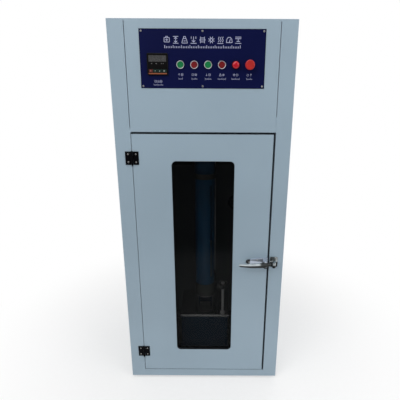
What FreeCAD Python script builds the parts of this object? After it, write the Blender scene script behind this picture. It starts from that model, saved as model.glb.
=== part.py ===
"""Battery impact tester: a floor cabinet that drops a guided weight on a cell.

Millimetres. X runs to the right, Y from the front to the back, Z up. The origin lies on the
floor, under the middle of the whole outline. "Inward" distances are measured back from the
outer face of the front frame.
"""
import FreeCAD, Part
import math
import os

from FreeCAD import Vector

# Cabinet shell
cabinet_width = 650.0
cabinet_depth = 600.0
cabinet_height = 1480.0
foot_height = 12.0
frame_sheet = 2.0
shell_sheet = 1.5
side_flange = 20.0
frame_edge_radius = 3.0
base_sheet = 2.0
base_upstand = 28.0
foot_inset = 58.0
foot_pad_radius = 22.0
foot_pad_height = 7.0
foot_neck_radius = 10.0

# Door aperture, rebate and leaf
door_stile = 59.0
door_sill = 34.0
rebate_depth = 26.0
stop_lip = 14.0
door_gap_hinge = 1.75
door_gap_latch = 4.0
door_gap_top = 4.0
door_gap_bottom = 2.0
door_thickness = 22.0
door_sheet = 1.5
door_edge_flange = 14.0
seal_width = 9.0
seal_gap = 0.3

# Window
window_width = 237.0
window_sill_margin = 107.5
window_head_margin = 103.0
window_radius = 17.0
pane_thickness = 5.0
pane_overlap = 15.0
gasket_lip = 2.5
gasket_thickness = 2.5
bead_thickness = 1.5

# Fascia and control plate
cross_rail = 14.0
fascia_height = 360.0
fascia_aperture_width = 535.0
fascia_top_band = 6.0
fascia_side_gap = 2.0
fascia_end_gap = 0.8
fascia_return = 12.0
plate_width = 430.0
plate_height = 191.0
plate_drop = 32.5
plate_thickness = 1.5
plate_screw_inset = 6.0
plate_screw_head_radius = 3.2

# Push buttons, lamp and stop switch on the control plate
switch_rise = 77.5
switch_pitch = 48.0
first_switch_x = -77.0
lamp_index = 4
stop_index = 5
bezel_radius = 15.0
bezel_reach = 5.0
barrel_radius = 11.0
cap_radius = 10.0
cap_recess = 1.2
cap_travel = 3.5
cap_length = 18.0
slide_clearance = 0.15
barrel_length = 24.0
contact_block_size = 28.0
contact_block_length = 38.0
lens_radius = 12.5
lens_reach = 15.0
lamp_base_radius = 14.5
lamp_base_reach = 3.0
stop_head_radius = 16.5
stop_head_thickness = 12.0
stop_neck = 13.0
stop_stem_radius = 7.0
stop_spigot = 6.0
stop_travel = 5.0
stop_collar_reach = 5.0

# Preset counter
counter_x = -155.5
counter_rise = 78.5
counter_size = 72.0
counter_body = 66.0
counter_reach = 7.0
counter_body_depth = 80.0
counter_radius = 3.0
display_width = 61.0
display_height = 21.0
display_rise = 18.5
display_thickness = 1.6
key_count = 4
key_pitch = 15.6
key_width = 13.4
key_height = 10.5
key_drop = 22.0
key_proud = 1.0
key_depth = 3.0
key_travel = 0.8
key_clearance = 0.3

# Butt hinges
hinge_height = 50.0
hinge_leaf_width = 25.0
hinge_leaf = 2.5
hinge_barrel_radius = 4.0
hinge_pin_radius = 2.0
hinge_fit = 0.05
hinge_knuckles = 3
hinge_low_inset = 98.0
hinge_high_inset = 92.0
hinge_screw_spread = 30.0
screw_head_radius = 3.8
screw_head = 1.2

# Lever latch
latch_z = 590.0
latch_reach = 42.0
latch_base_length = 89.0
latch_base_height = 32.0
latch_base_thickness = 7.0
latch_base_tail = 9.0
latch_pivot_inset = 12.0
latch_pivot_reach = 26.0
latch_pin_radius = 3.0
latch_hub_radius = 8.5
latch_hub_height = 21.0
latch_lug = 4.5
latch_lever_length = 107.0
latch_lever_thickness = 8.0
latch_tip_height = 11.0
latch_nose_length = 26.0
latch_nose_thickness = 8.0
keeper_width = 32.0
keeper_height = 44.0
keeper_seam_offset = 4.0
keeper_plate = 3.0
keeper_lip = 7.0
keeper_clearance = 0.6

# Test chamber
chamber_depth = 440.0
liner_sheet = 1.5
ceiling_slot_width = 130.0

# Anvil, bar and clamp post
anvil_width = 226.0
anvil_front = 122.0
anvil_depth = 220.0
anvil_base_height = 178.0
anvil_thickness = 12.0
bar_radius = 7.9
bar_length = 70.0
bar_seat_height = 17.4
holder_span = 52.0
holder_wall = 6.0
holder_depth = 26.0
holder_height = 30.0
post_x = 84.0
post_inset = 137.0
post_radius = 6.0
post_height = 150.0
knob_radius = 28.0
knob_thickness = 17.0
knob_lobes = 7
running_fit = 0.05

# Guide tube and weight
tube_inset = 250.0
tube_radius = 45.5
tube_wall = 3.5
tube_bottom = 352.0
tube_headroom = 29.5
sight_slot_width = 12.0
sight_slot_angle = 42.0
sight_slot_start = 44.0
arm_slot_width = 18.0
arm_slot_start = 500.0
weight_radius = 40.0
weight_height = 230.0
weight_seat_gap = 0.3
drop_height = 610.0
collar_radius = 49.5
collar_bottom = 297.0
upper_clamp_z = 880.0
clamp_band = 22.0

# Lift behind the guide tube
column_half_width = 50.0
column_web_inset = 372.0
column_web = 6.0
column_headroom = 41.0
rail_half_width = 7.5
rail_height = 10.0
rail_low_overrun = 10.8
rail_high_overrun = 3.2
carriage_gap = 0.3
carriage_length = 60.0
carriage_half_width = 16.0
carriage_plate = 10.0
carriage_plate_half_width = 38.0
carriage_plate_height = 90.0
arm_thickness = 12.0
arm_height = 30.0
magnet_radius = 38.0
magnet_height = 45.0
pulley_radius = 22.0
pulley_teeth = 22
pulley_width = 12.0
pulley_flange = 3.0
pulley_tooth = 1.3
pulley_rim = 1.2
belt_width = 10.0
belt_thickness = 2.4
pulley_offset = 32.0
shaft_radius = 6.0
motor_radius = 34.0
motor_length = 88.0
gearbox_length = 42.0

# Exhaust, cable port, inlet and electrics
fan_inset = 110.0
fan_drop = 128.0
fan_frame_size = 150.0
fan_frame_depth = 38.0
fan_bore_radius = 58.0
fan_blades = 7
fan_hub_radius = 21.0
fan_blade_clearance = 3.0
fan_blade_pitch = 52.0
fan_spider = 5.0
fan_end_gap = 4.0
fan_shaft_radius = 3.0
guard_depth = 8.0
guard_radius = 8.0
guard_wire = 3.0
guard_rings = (30.0,)
spigot_radius = 50.0
spigot_wall = 2.0
spigot_reach = 42.0
spigot_flange = 16.0
spigot_collar = 9.0
spigot_sheet = 2.0
port_inset = 102.0
port_z = 700.0
port_radius = 25.0
port_wall = 3.0
port_flange = 10.0
inlet_inset = 95.0
inlet_z = 120.0
inlet_width = 50.0
inlet_height = 30.0
service_half_width = 200.0
service_height = 300.0
service_top_margin = 34.0
service_overlap = 12.0
louvre_rows = 7
louvre_pitch = 32.0
louvre_length = 140.0
louvre_reach = 6.0
gear_sheet = (160.0, 230.0)
supply_size = (80.0, 160.0, 50.0)
supply_vents = 5
relay_size = (27.0, 28.0, 61.0)
relay_pitch = 38.0
relay_count = 5
relay_rail_width = 35.0
relay_rail_rise = 7.0
gear_margin = 12.0
gear_inset = 190.0

# Places that follow from the sizes above
half_width = cabinet_width / 2
front = -(cabinet_depth + spigot_reach - latch_reach) / 2
rear = front + cabinet_depth
top = foot_height + cabinet_height
door_left = -half_width + door_stile
door_right = half_width - door_stile
door_bottom = foot_height + door_sill
door_opening_height = cabinet_height - door_sill - cross_rail - fascia_height - fascia_top_band
door_top = door_bottom + door_opening_height
leaf_left = door_left + door_gap_hinge
leaf_right = door_right - door_gap_latch
leaf_bottom = door_bottom + door_gap_bottom
leaf_top = door_top - door_gap_top
window_bottom = leaf_bottom + window_sill_margin
window_height = leaf_top - window_head_margin - window_bottom
hinge_heights = (leaf_bottom + hinge_low_inset, leaf_top - hinge_high_inset)
fascia_bottom = door_top + cross_rail
fascia_top = top - fascia_top_band
plate_bottom = top - plate_drop - plate_height
switch_height = plate_bottom + switch_rise
counter_z = plate_bottom + counter_rise
plate_front = front - plate_thickness
chamber_half = door_right - stop_lip
chamber_floor = door_bottom + stop_lip
chamber_ceiling = door_top - stop_lip
chamber_front = front + rebate_depth + frame_sheet
chamber_back = front + chamber_depth
anvil_top = chamber_floor + anvil_base_height + anvil_thickness
bar_z = anvil_top + bar_seat_height + bar_radius
weight_bottom = bar_z + bar_radius + weight_seat_gap
weight_top = weight_bottom + weight_height
magnet_bottom = weight_top + weight_seat_gap
magnet_top = magnet_bottom + magnet_height
arm_top = magnet_top + arm_height
carriage_z = magnet_top + arm_height / 2
rail_bottom = carriage_z - carriage_plate_height / 2 - rail_low_overrun
rail_top = carriage_z + drop_height + carriage_plate_height / 2 + rail_high_overrun
idler_z = rail_bottom - pulley_offset
drive_z = rail_top + pulley_offset
column_top = drive_z + column_headroom
tube_y = front + tube_inset
tube_top = weight_top + drop_height + tube_headroom
column_face = front + column_web_inset
rail_face = column_face - rail_height
belt_y = column_face - pulley_flange - pulley_width / 2
hinge_x = (door_left + leaf_left) / 2
hinge_y = front - hinge_barrel_radius
latch_x = leaf_right - latch_pivot_inset
latch_y = front - latch_pivot_reach
keeper_left = door_right + keeper_seam_offset
fan_x = fan_inset - chamber_half
fan_z = chamber_ceiling - fan_drop
port_x = chamber_half - port_inset
inlet_x = inlet_inset - half_width
service_top = top - service_top_margin
service_bottom = service_top - service_height


# Shape helpers
def box(x0, x1, y0, y1, z0, z1):
    """Solid block between two corners."""
    return Part.makeBox(x1 - x0, y1 - y0, z1 - z0, Vector(x0, y0, z0))


def rod(radius, start, end):
    """Round bar from one point to another."""
    a = Vector(*start)
    b = Vector(*end)
    return Part.makeCylinder(radius, (b - a).Length, a, b - a)


def pipe(outer, inner, start, end):
    """Round tube from one point to another."""
    return rod(outer, start, end).cut(rod(inner, start, end))


def slab(x0, x1, z0, z1, y0, y1, radius=0.0):
    """Upright plate seen from the front, with its four corners rounded."""
    plate = box(x0, x1, y0, y1, z0, z1)
    if radius > 0.0:
        corners = [e for e in plate.Edges if abs(e.tangentAt(e.FirstParameter).y) > 0.99]
        plate = plate.makeFillet(radius, corners)
    return plate


def turned(profile, centre, axis):
    """Solid of revolution: profile points are (radius, distance along the axis)."""
    points = [Vector(r, 0, h) for r, h in profile]
    face = Part.Face(Part.makePolygon(points + [points[0]]))
    shape = face.revolve(Vector(0, 0, 0), Vector(0, 0, 1), 360)
    shape.Placement = FreeCAD.Placement(Vector(*centre), FreeCAD.Rotation(Vector(0, 0, 1), Vector(*axis)))
    return shape


def plan_prism(points, z0, z1):
    """Extrusion upwards of an outline drawn in plan."""
    outline = [Vector(x, y, z0) for x, y in points]
    face = Part.Face(Part.makePolygon(outline + [outline[0]]))
    return face.extrude(Vector(0, 0, z1 - z0))


def side_prism(points, x0, x1):
    """Extrusion across of an outline seen from the side, as (y, z)."""
    outline = [Vector(x0, y, z) for y, z in points]
    face = Part.Face(Part.makePolygon(outline + [outline[0]]))
    return face.extrude(Vector(x1 - x0, 0, 0))


def front_prism(points, y0, y1):
    """Extrusion backwards of an outline seen from the front, as (x, z)."""
    outline = [Vector(x, y0, z) for x, z in points]
    face = Part.Face(Part.makePolygon(outline + [outline[0]]))
    return face.extrude(Vector(0, y1 - y0, 0))


def cornered(radius, sides, centre, axis, length):
    """Prism with equal sides, such as a nut: radius is to the corners."""
    points = [Vector(radius, 0, 0)]
    for i in range(1, sides + 1):
        angle = 2 * math.pi * i / sides
        points.append(Vector(radius * math.cos(angle), radius * math.sin(angle), 0))
    points[-1] = points[0]
    shape = Part.Face(Part.makePolygon(points)).extrude(Vector(0, 0, length))
    shape.Placement = FreeCAD.Placement(Vector(*centre), FreeCAD.Rotation(Vector(0, 0, 1), Vector(*axis)))
    return shape


def fused(shapes):
    """One shape from several that touch, with leftover seams removed."""
    shapes = list(shapes)
    return shapes[0].multiFuse(shapes[1:]).removeSplitter() if len(shapes) > 1 else shapes[0]


def cleared(shape, cutters):
    """Shape with every cutter taken away."""
    cutters = list(cutters)
    return shape.cut(cutters) if cutters else shape


def mirrored_pair(shape):
    """The shape and its mirror image across the middle plane."""
    return [shape, shape.mirror(Vector(0, 0, 0), Vector(1, 0, 0))]


def save(name, shapes):
    """Write one sub-part; several solids share the file as a group."""
    group = shapes if isinstance(shapes, list) else [shapes]
    shape = group[0] if len(group) == 1 else Part.makeCompound(group)
    shape.exportStep("parts/" + name + ".step")


# Places of the fasteners
def plate_screw_places():
    """Centres of the six screws of the control plate, as (x, z)."""
    reach = plate_width / 2 - plate_screw_inset
    low = plate_bottom + plate_screw_inset
    high = plate_bottom + plate_height - plate_screw_inset
    return [(x, z) for z in (low, high) for x in (-reach, 0.0, reach)]


def hinge_screw_places(side):
    """Centres of one leaf's screws on both hinges; side is -1 on the frame and 1 on the door."""
    x = hinge_x + side * (hinge_leaf_width + hinge_barrel_radius) / 2
    return [(x, z + dz) for z in hinge_heights for dz in (-hinge_screw_spread / 2, hinge_screw_spread / 2)]


def keeper_screw_places():
    """Centres of the two keeper screws, as (x, z)."""
    x = keeper_left + keeper_width - latch_lug - screw_head_radius
    reach = keeper_height / 2 - screw_head_radius - 2
    return [(x, latch_z - reach), (x, latch_z + reach)]


def latch_screw_places():
    """Centres of the latch base's three screws, as (x, z)."""
    tail = leaf_right - latch_base_length + latch_base_tail + 4
    middle = leaf_right - latch_base_length / 2
    reach = latch_base_height / 2 - screw_head_radius - 3
    return [(tail, latch_z), (middle, latch_z - reach), (middle, latch_z + reach)]


def screws(places, seat, radius=screw_head_radius, height=screw_head):
    """Screw heads seated on a plane that faces forwards."""
    return [cornered(radius, 12, (x, seat, z), (0, -1, 0), height) for x, z in places]


# Cabinet shell
def aperture_return(x0, x1, z0, z1, depth):
    """Folded edge round an aperture, standing behind the front sheet."""
    t = frame_sheet
    outer = box(x0 - t, x1 + t, front, front + depth, z0 - t, z1 + t)
    return outer.cut(box(x0, x1, front - 1, front + depth + 1, z0, z1))


def front_frame():
    """Front sheet with the fascia and door apertures, their returns and the door stop."""
    t = frame_sheet
    sheet = box(-half_width, half_width, front, front + t, foot_height, top)
    outer_edges = [e for e in sheet.Edges
                   if abs(e.tangentAt(0).z) > 0.99 and e.CenterOfMass.y < front + t / 2]
    sheet = sheet.makeFillet(min(frame_edge_radius, t * 0.9), outer_edges)
    fascia_half = fascia_aperture_width / 2
    sheet = cleared(sheet, [
        box(door_left, door_right, front - 1, front + t + 1, door_bottom, door_top),
        box(-fascia_half, fascia_half, front - 1, front + t + 1, fascia_bottom, fascia_top)])
    stop = box(door_left - t, door_right + t, front + rebate_depth, chamber_front, door_bottom - t, door_top + t)
    stop = stop.cut(box(-chamber_half, chamber_half, front, chamber_front + 1, chamber_floor, chamber_ceiling))
    return fused([sheet, stop, aperture_return(door_left, door_right, door_bottom, door_top, rebate_depth),
                  aperture_return(-fascia_half, fascia_half, fascia_bottom, fascia_top, fascia_return)])


def side_panel():
    """Left side: one sheet with its front and rear edges folded inwards."""
    t = shell_sheet
    y0 = front + frame_sheet
    y1 = rear - t
    x0 = -half_width
    x1 = x0 + side_flange
    outline = [(x0, y0), (x1, y0), (x1, y0 + t), (x0 + t, y0 + t), (x0 + t, y1 - t), (x1, y1 - t), (x1, y1), (x0, y1)]
    return plan_prism(outline, foot_height, top - t)


def rear_panel():
    """Back sheet with its service opening, duct and port holes and the inlet cut-out."""
    t = shell_sheet
    sheet = box(-half_width, half_width, rear - t, rear, foot_height, top - t)
    inner = service_half_width - service_overlap
    return cleared(sheet, [
        box(-inner, inner, rear - t - 1, rear + 1, service_bottom + service_overlap, service_top - service_overlap),
        rod(spigot_radius, (fan_x, rear - t - 1, fan_z), (fan_x, rear + 1, fan_z)),
        rod(port_radius + port_wall, (port_x, rear - t - 1, port_z), (port_x, rear + 1, port_z)),
        box(inlet_x - inlet_width / 2, inlet_x + inlet_width / 2, rear - t - 1, rear + 1,
            inlet_z - inlet_height / 2, inlet_z + inlet_height / 2)])


def louvre(x, z):
    """Pressed louvre hood and the cut behind it, which leaves its lower edge open."""
    r = louvre_reach
    t = shell_sheet
    half = louvre_length / 2
    hood = side_prism([(rear + t / 2, z), (rear + t + r, z), (rear + t + r, z + t), (rear + t / 2, z + r + t)],
                      x - half, x + half)
    slot = side_prism([(rear - 1, z - 1), (rear + t + r - t, z - 1), (rear + t + r - t, z + t / 2), (rear + t, z + r - t / 2),
                       (rear - 1, z + r - t / 2)], x - half + t, x + half - t)
    return hood, slot


def rear_service_cover():
    """Removable cover of the electrics, with two columns of louvres."""
    t = shell_sheet
    cover = slab(-service_half_width, service_half_width, service_bottom, service_top, rear, rear + t)
    middle = (service_bottom + service_top) / 2
    hoods = []
    slots = []
    for row in range(louvre_rows):
        z = middle + (row - (louvre_rows - 1) / 2) * louvre_pitch
        for x in (-service_half_width * 0.46, service_half_width * 0.46):
            hood, slot = louvre(x, z)
            hoods.append(hood)
            slots.append(slot)
    return cleared(fused([cover] + hoods), slots)


def top_cover():
    """Roof sheet with a lip folded down along each side."""
    t = shell_sheet
    y0 = front + frame_sheet
    roof = box(-half_width, half_width, y0, rear, top - t, top)
    lip_start = half_width - 2 * t
    lip = box(lip_start, lip_start + t, y0 + 2 * t, rear - 3 * t, top - t - side_flange, top - t)
    return fused([roof] + mirrored_pair(lip))


def base_pan():
    """Folded tray under the cabinet, with cross channels that carry the chamber floor."""
    t = base_sheet
    x1 = half_width - shell_sheet
    y0 = front + frame_sheet + shell_sheet
    y1 = rear - 2 * shell_sheet
    z1 = foot_height + t + base_upstand
    tray = box(-x1, x1, y0, y1, foot_height, z1)
    tray = tray.cut(box(-x1 + t, x1 - t, y0 + t, y1 - t, foot_height + t, z1 + 1))
    under_floor = chamber_floor - liner_sheet
    channels = []
    for share in (0.2, 0.5, 0.8):
        y = chamber_front + share * (chamber_back - chamber_front)
        outer = box(-chamber_half, chamber_half, y - 30, y + 30, foot_height + t / 2, under_floor)
        channels.append(outer.cut(box(-x1, x1, y - 30 + t, y + 30 - t, 0, under_floor - t)))
    return fused([tray] + channels)


def foot_places():
    """Centres of the four feet in plan."""
    x = half_width - foot_inset
    return [(sx * x, y) for sx in (-1, 1) for y in (front + foot_inset, rear - foot_inset)]


def levelling_feet():
    """Feet with a moulded pad and the neck that screws in under the tray."""
    pad = foot_pad_radius
    neck = foot_neck_radius
    return [turned([(0, 0), (pad, 0), (pad, foot_pad_height), (neck, foot_pad_height), (neck, foot_height), (0, foot_height)],
                   (x, y, 0), (0, 0, 1)) for x, y in foot_places()]


def chamber_liner():
    """Chamber walls folded from one sheet, the floor they stand on and the ceiling over them."""
    t = liner_sheet
    x = chamber_half
    walls = box(-x - t, x + t, chamber_front, chamber_back + t, chamber_floor, chamber_ceiling)
    walls = walls.cut(box(-x, x, chamber_front - 1, chamber_back, chamber_floor - 1, chamber_ceiling + 1))
    walls = cleared(walls, [
        rod(fan_bore_radius, (fan_x, chamber_back - 1, fan_z), (fan_x, chamber_back + t + 1, fan_z)),
        rod(port_radius + port_wall, (port_x, chamber_back - 1, port_z), (port_x, chamber_back + t + 1, port_z))])
    floor = box(-x - t, x + t, chamber_front, chamber_back + t, chamber_floor - t, chamber_floor)
    return [walls, floor, ceiling_sheet()]


def ceiling_sheet():
    """Sheet between the chamber and the upper bay, slotted for the tube and the lift."""
    t = liner_sheet
    x = chamber_half
    sheet = box(-x - t, x + t, chamber_front, chamber_back + t, chamber_ceiling, chamber_ceiling + t)
    slot = box(-ceiling_slot_width / 2, ceiling_slot_width / 2, tube_y, chamber_back,
               chamber_ceiling - 1, chamber_ceiling + t + 1)
    bore = rod(tube_radius + carriage_gap, (0, tube_y, chamber_ceiling - 1), (0, tube_y, chamber_ceiling + t + 1))
    return cleared(sheet, [slot, bore])


# Door leaf
def window_slab(grow, y0, y1):
    """Solid with the window's outline, grown all round."""
    radius = window_radius + grow
    half = window_width / 2 + grow
    return slab(-half, half, window_bottom - grow, window_bottom + window_height + grow, y0, y1, radius)


def leaf_ring(inset, width, y0, y1):
    """Rectangular ring that follows the edge of the door leaf."""
    outer = box(leaf_left + inset, leaf_right - inset, y0, y1, leaf_bottom + inset, leaf_top - inset)
    reach = inset + width
    return outer.cut(box(leaf_left + reach, leaf_right - reach, y0 - 1, y1 + 1, leaf_bottom + reach, leaf_top - reach))


def door_pan():
    """Outer door sheet: skin, four folded edges and the flange behind them."""
    t = door_sheet
    back = front + door_thickness
    skin = box(leaf_left, leaf_right, front, front + t, leaf_bottom, leaf_top)
    edges = leaf_ring(0.0, t, front, back)
    flange = leaf_ring(0.0, door_edge_flange, back - 2 * t, back - t)
    return fused([skin, edges, flange]).cut(window_slab(0.0, front - 1, front + t + 1))


def pane_front():
    """Plane where the window pane meets its gasket."""
    return front + door_sheet + gasket_thickness


def door_inner_panel():
    """Inner door sheet with a bead turned up against the pane."""
    t = door_sheet
    back = front + door_thickness
    sheet = box(leaf_left + t, leaf_right - t, back - t, back, leaf_bottom + t, leaf_top - t)
    bead = window_slab(bead_thickness, pane_front() + pane_thickness, back)
    return fused([sheet, bead]).cut(window_slab(0.0, front, back + 1))


def window_glass():
    """Smoked safety pane held between the gasket and the bead."""
    return window_slab(pane_overlap, pane_front(), pane_front() + pane_thickness)


def door_seals():
    """Rubber window edging, and the strip that meets the door stop."""
    lip = window_slab(0.0, front - 0.4, front + door_sheet)
    edging = fused([lip, window_slab(pane_overlap - 3, front + door_sheet, pane_front())])
    edging = edging.cut(window_slab(-gasket_lip, front - 2, pane_front() + 1))
    strip = leaf_ring(1.0, seal_width, front + door_thickness, front + rebate_depth - seal_gap)
    return [edging, strip]


# Butt hinges
def hinge_leaf_solid(z, side, segments):
    """One leaf with its share of the knuckles, bored for the pin."""
    pitch = hinge_height / hinge_knuckles
    z0 = z - hinge_height / 2
    near = side * (hinge_barrel_radius + carriage_gap)
    far = side * hinge_leaf_width
    x0, x1 = sorted((hinge_x + near, hinge_x + far))
    leaf = slab(x0, x1, z0, z0 + hinge_height, front - hinge_leaf, front)
    knuckles = []
    for index in segments:
        low = z0 + index * pitch + running_fit
        high = z0 + (index + 1) * pitch - running_fit
        knuckles.append(rod(hinge_barrel_radius, (hinge_x, hinge_y, low), (hinge_x, hinge_y, high)))
        a, b = sorted((hinge_x, hinge_x + near + side * 2))
        knuckles.append(box(a, b, front - hinge_leaf, front, low, high))
    body = fused([leaf] + knuckles)
    return body.cut(rod(hinge_pin_radius + hinge_fit, (hinge_x, hinge_y, z0 - 5), (hinge_x, hinge_y, z0 + hinge_height + 5)))


def hinge_frame_leaves():
    """Fixed leaves of both hinges and the pins that they carry."""
    made = []
    for z in hinge_heights:
        made.append(hinge_leaf_solid(z, -1, range(0, hinge_knuckles, 2)))
        low = z - hinge_height / 2
        high = z + hinge_height / 2
        r = hinge_pin_radius
        profile = [(0, low - 5), (r, low - 5), (r, high), (r * 1.7, high), (r * 1.7, high + 2), (0, high + 2)]
        made.append(turned(profile, (hinge_x, hinge_y, 0), (0, 0, 1)))
    return made


def hinge_door_leaves():
    """Moving leaves of both hinges."""
    return [hinge_leaf_solid(z, 1, range(1, hinge_knuckles, 2)) for z in hinge_heights]


# Lever latch
def latch_base():
    """Cast latch base: a tapering shield with two lugs, and the pin between them."""
    y0 = front - latch_base_thickness
    tail = leaf_right - latch_base_length + latch_base_tail
    half = latch_base_height / 2
    shoulder = latch_x - latch_hub_radius - 14
    shield = front_prism([(tail, latch_z - latch_base_tail), (shoulder, latch_z - half), (leaf_right, latch_z - half),
                          (leaf_right, latch_z + half), (shoulder, latch_z + half), (tail, latch_z + latch_base_tail)],
                         y0, front)
    shield = fused([shield, rod(latch_base_tail, (tail, y0, latch_z), (tail, front, latch_z))])
    rim = [e for e in shield.Edges if abs(e.BoundBox.YMax - y0) < 1e-6]
    shield = shield.makeChamfer(latch_base_thickness * 0.3, rim)
    lugs = []
    inner = latch_hub_height / 2 + carriage_gap
    for z0 in (latch_z + inner, latch_z - inner - latch_lug):
        x0 = latch_x - latch_hub_radius
        x1 = latch_x + latch_hub_radius
        lugs.append(box(x0, x1, latch_y, front - 1, z0, z0 + latch_lug))
        lugs.append(rod(latch_hub_radius, (latch_x, latch_y, z0), (latch_x, latch_y, z0 + latch_lug)))
    reach = inner + latch_lug
    pin = rod(latch_pin_radius, (latch_x, latch_y, latch_z - reach), (latch_x, latch_y, latch_z + reach))
    return [fused([shield] + lugs).cut(pin), pin]


def latch_lever():
    """Bowed pull lever, tapering to its tip, with the nose that enters the keeper."""
    half = latch_hub_height / 2
    bow_x = latch_x - 0.6 * latch_lever_length
    side = latch_x - bow_x
    drop = latch_reach - latch_pivot_reach - latch_hub_radius
    bow_radius = (side * side + drop * drop) / (2 * drop)
    centre_y = front - latch_reach + bow_radius
    low = (bow_x, centre_y, latch_z - half)
    high = (bow_x, centre_y, latch_z + half)
    band = pipe(bow_radius, bow_radius - latch_lever_thickness, low, high)
    tip = latch_x - latch_lever_length
    tip_half = latch_tip_height / 2
    outline = front_prism([(tip + tip_half, latch_z - tip_half), (latch_x - 30, latch_z - half + 1.5),
                           (latch_x, latch_z - half), (latch_x, latch_z + half),
                           (latch_x - 30, latch_z + half - 1.5), (tip + tip_half, latch_z + tip_half)],
                          front - latch_reach - 1, latch_y + 4)
    round_tip = rod(tip_half, (tip + tip_half, front - latch_reach - 1, latch_z), (tip + tip_half, latch_y, latch_z))
    arm = band.common(fused([outline, round_tip]))
    hub = rod(latch_hub_radius, (latch_x, latch_y, latch_z - half), (latch_x, latch_y, latch_z + half))
    nose_half = latch_nose_thickness / 2
    nose_end = latch_x + latch_nose_length - nose_half
    nose_z = half * 0.66
    nose = fused([box(latch_x, nose_end, latch_y - nose_half, latch_y + nose_half, latch_z - nose_z, latch_z + nose_z),
                  rod(nose_half, (nose_end, latch_y, latch_z - nose_z), (nose_end, latch_y, latch_z + nose_z))])
    bore = rod(latch_pin_radius + running_fit, (latch_x, latch_y, latch_z - half - 1), (latch_x, latch_y, latch_z + half + 1))
    return fused([arm, hub, nose]).cut(bore)


def latch_keeper():
    """Strike on the frame: a foot plate and a rounded horn that stands close beside the nose."""
    x0 = keeper_left
    x1 = keeper_left + keeper_width
    half = keeper_height / 2
    lip_back = latch_y - latch_nose_thickness / 2 - 0.5
    lip_front = lip_back - keeper_lip
    lip_x = latch_x + latch_nose_length + keeper_clearance
    wall = lip_x + 5
    horn_end = wall + 9
    horn_half = half * 0.55
    foot = slab(x0, x1, latch_z - half, latch_z + half, front - keeper_plate, front, 4.0)
    horn = plan_prism([(wall, front - 1), (wall, lip_back), (lip_x + 1, lip_back), (lip_x, lip_back - 2),
                       (lip_x + 2, lip_front), (horn_end - 4, lip_front), (horn_end, lip_front + 5),
                       (horn_end + 3, front - 1)], latch_z - horn_half, latch_z + horn_half)
    rim = [e for e in horn.Edges if abs(e.BoundBox.ZLength) < 1e-6 and e.CenterOfMass.y < front - 6]
    horn = horn.makeChamfer(1.5, rim)
    return fused([foot, horn])


# Fascia, control plate and what is mounted on them
def switch_x(index):
    """Centre of a switch position, counted from the left."""
    return first_switch_x + index * switch_pitch


def control_holes():
    """Openings that the fascia and the control plate share."""
    y0 = plate_front - 1
    y1 = front + fascia_return + 1
    half = counter_body / 2
    holes = [box(counter_x - half, counter_x + half, y0, y1, counter_z - half, counter_z + half)]
    return holes + [rod(barrel_radius, (switch_x(i), y0, switch_height), (switch_x(i), y1, switch_height)) for i in range(6)]


def fascia_panel():
    """Tray-shaped panel that fills the upper aperture."""
    half = fascia_aperture_width / 2 - fascia_side_gap
    z0 = fascia_bottom + fascia_end_gap
    z1 = fascia_top - fascia_end_gap
    tray = box(-half, half, front, front + fascia_return, z0, z1)
    t = shell_sheet
    tray = tray.cut(box(-half + t, half - t, front + t, front + fascia_return + 1, z0 + t, z1 - t))
    return cleared(tray, control_holes())


def control_plate():
    """Flat plate that carries the counter and the switches."""
    plate = slab(-plate_width / 2, plate_width / 2, plate_bottom, plate_bottom + plate_height, plate_front, front)
    return cleared(plate, control_holes())


def cabinet_screws():
    """Screw heads of the control plate, the fixed hinge leaves and the keeper."""
    made = screws(plate_screw_places(), plate_front, plate_screw_head_radius)
    made += screws(hinge_screw_places(-1), front - hinge_leaf)
    return made + screws(keeper_screw_places(), front - keeper_plate)


def door_screws():
    """Screw heads of the moving hinge leaves and the latch base."""
    return screws(hinge_screw_places(1), front - hinge_leaf) + screws(latch_screw_places(), front - latch_base_thickness)


def bezel_ring(index):
    """Ring round a push button."""
    return pipe(bezel_radius, cap_radius + slide_clearance, (switch_x(index), plate_front - bezel_reach, switch_height),
                (switch_x(index), plate_front, switch_height))


def switch_body(index):
    """Barrel and contact block behind one switch position."""
    x = switch_x(index)
    z = switch_height
    end = front + barrel_length
    barrel = rod(barrel_radius, (x, plate_front, z), (x, end, z))
    half = contact_block_size / 2
    block = box(x - half, x + half, end, end + contact_block_length, z - half, z + half)
    if index == lamp_index:
        return fused([barrel, block])
    bore = (stop_stem_radius if index == stop_index else cap_radius) + slide_clearance
    return fused([barrel, block]).cut(rod(bore, (x, plate_front - 1, z), (x, end, z)))


def push_button(index):
    """Round push-button cap, set back inside its ring."""
    face = plate_front - bezel_reach + cap_recess
    return rod(cap_radius, (switch_x(index), face, switch_height), (switch_x(index), face + cap_length, switch_height))


def switch_collars():
    """Black collars under the lamp lens and round the stem of the stop switch."""
    return [pipe(outer, inner, (switch_x(index), plate_front - reach, switch_height), (switch_x(index), plate_front, switch_height))
            for index, outer, inner, reach in (
                (lamp_index, lamp_base_radius, barrel_radius - 2, lamp_base_reach),
                (stop_index, bezel_radius, stop_stem_radius + slide_clearance, stop_collar_reach))]


def lamp_lens():
    """Raised lens of the indicator lamp, with a bevelled front."""
    r = lens_radius
    profile = [(0, -lamp_base_reach), (r, -lamp_base_reach), (r, -lens_reach * 0.7), (r * 0.72, -lens_reach), (0, -lens_reach)]
    return turned(profile, (switch_x(lamp_index), plate_front, switch_height), (0, 1, 0))


def stop_stem():
    """Sliding stem of the stop switch, with the spigot that its head turns on."""
    r = stop_stem_radius
    end = cap_length - 4
    profile = [(0, -stop_neck - stop_spigot), (r * 0.7, -stop_neck - stop_spigot), (r * 0.7, -stop_neck), (r, -stop_neck),
               (r, end), (0, end)]
    return turned(profile, (switch_x(stop_index), plate_front, switch_height), (0, 1, 0))


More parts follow.
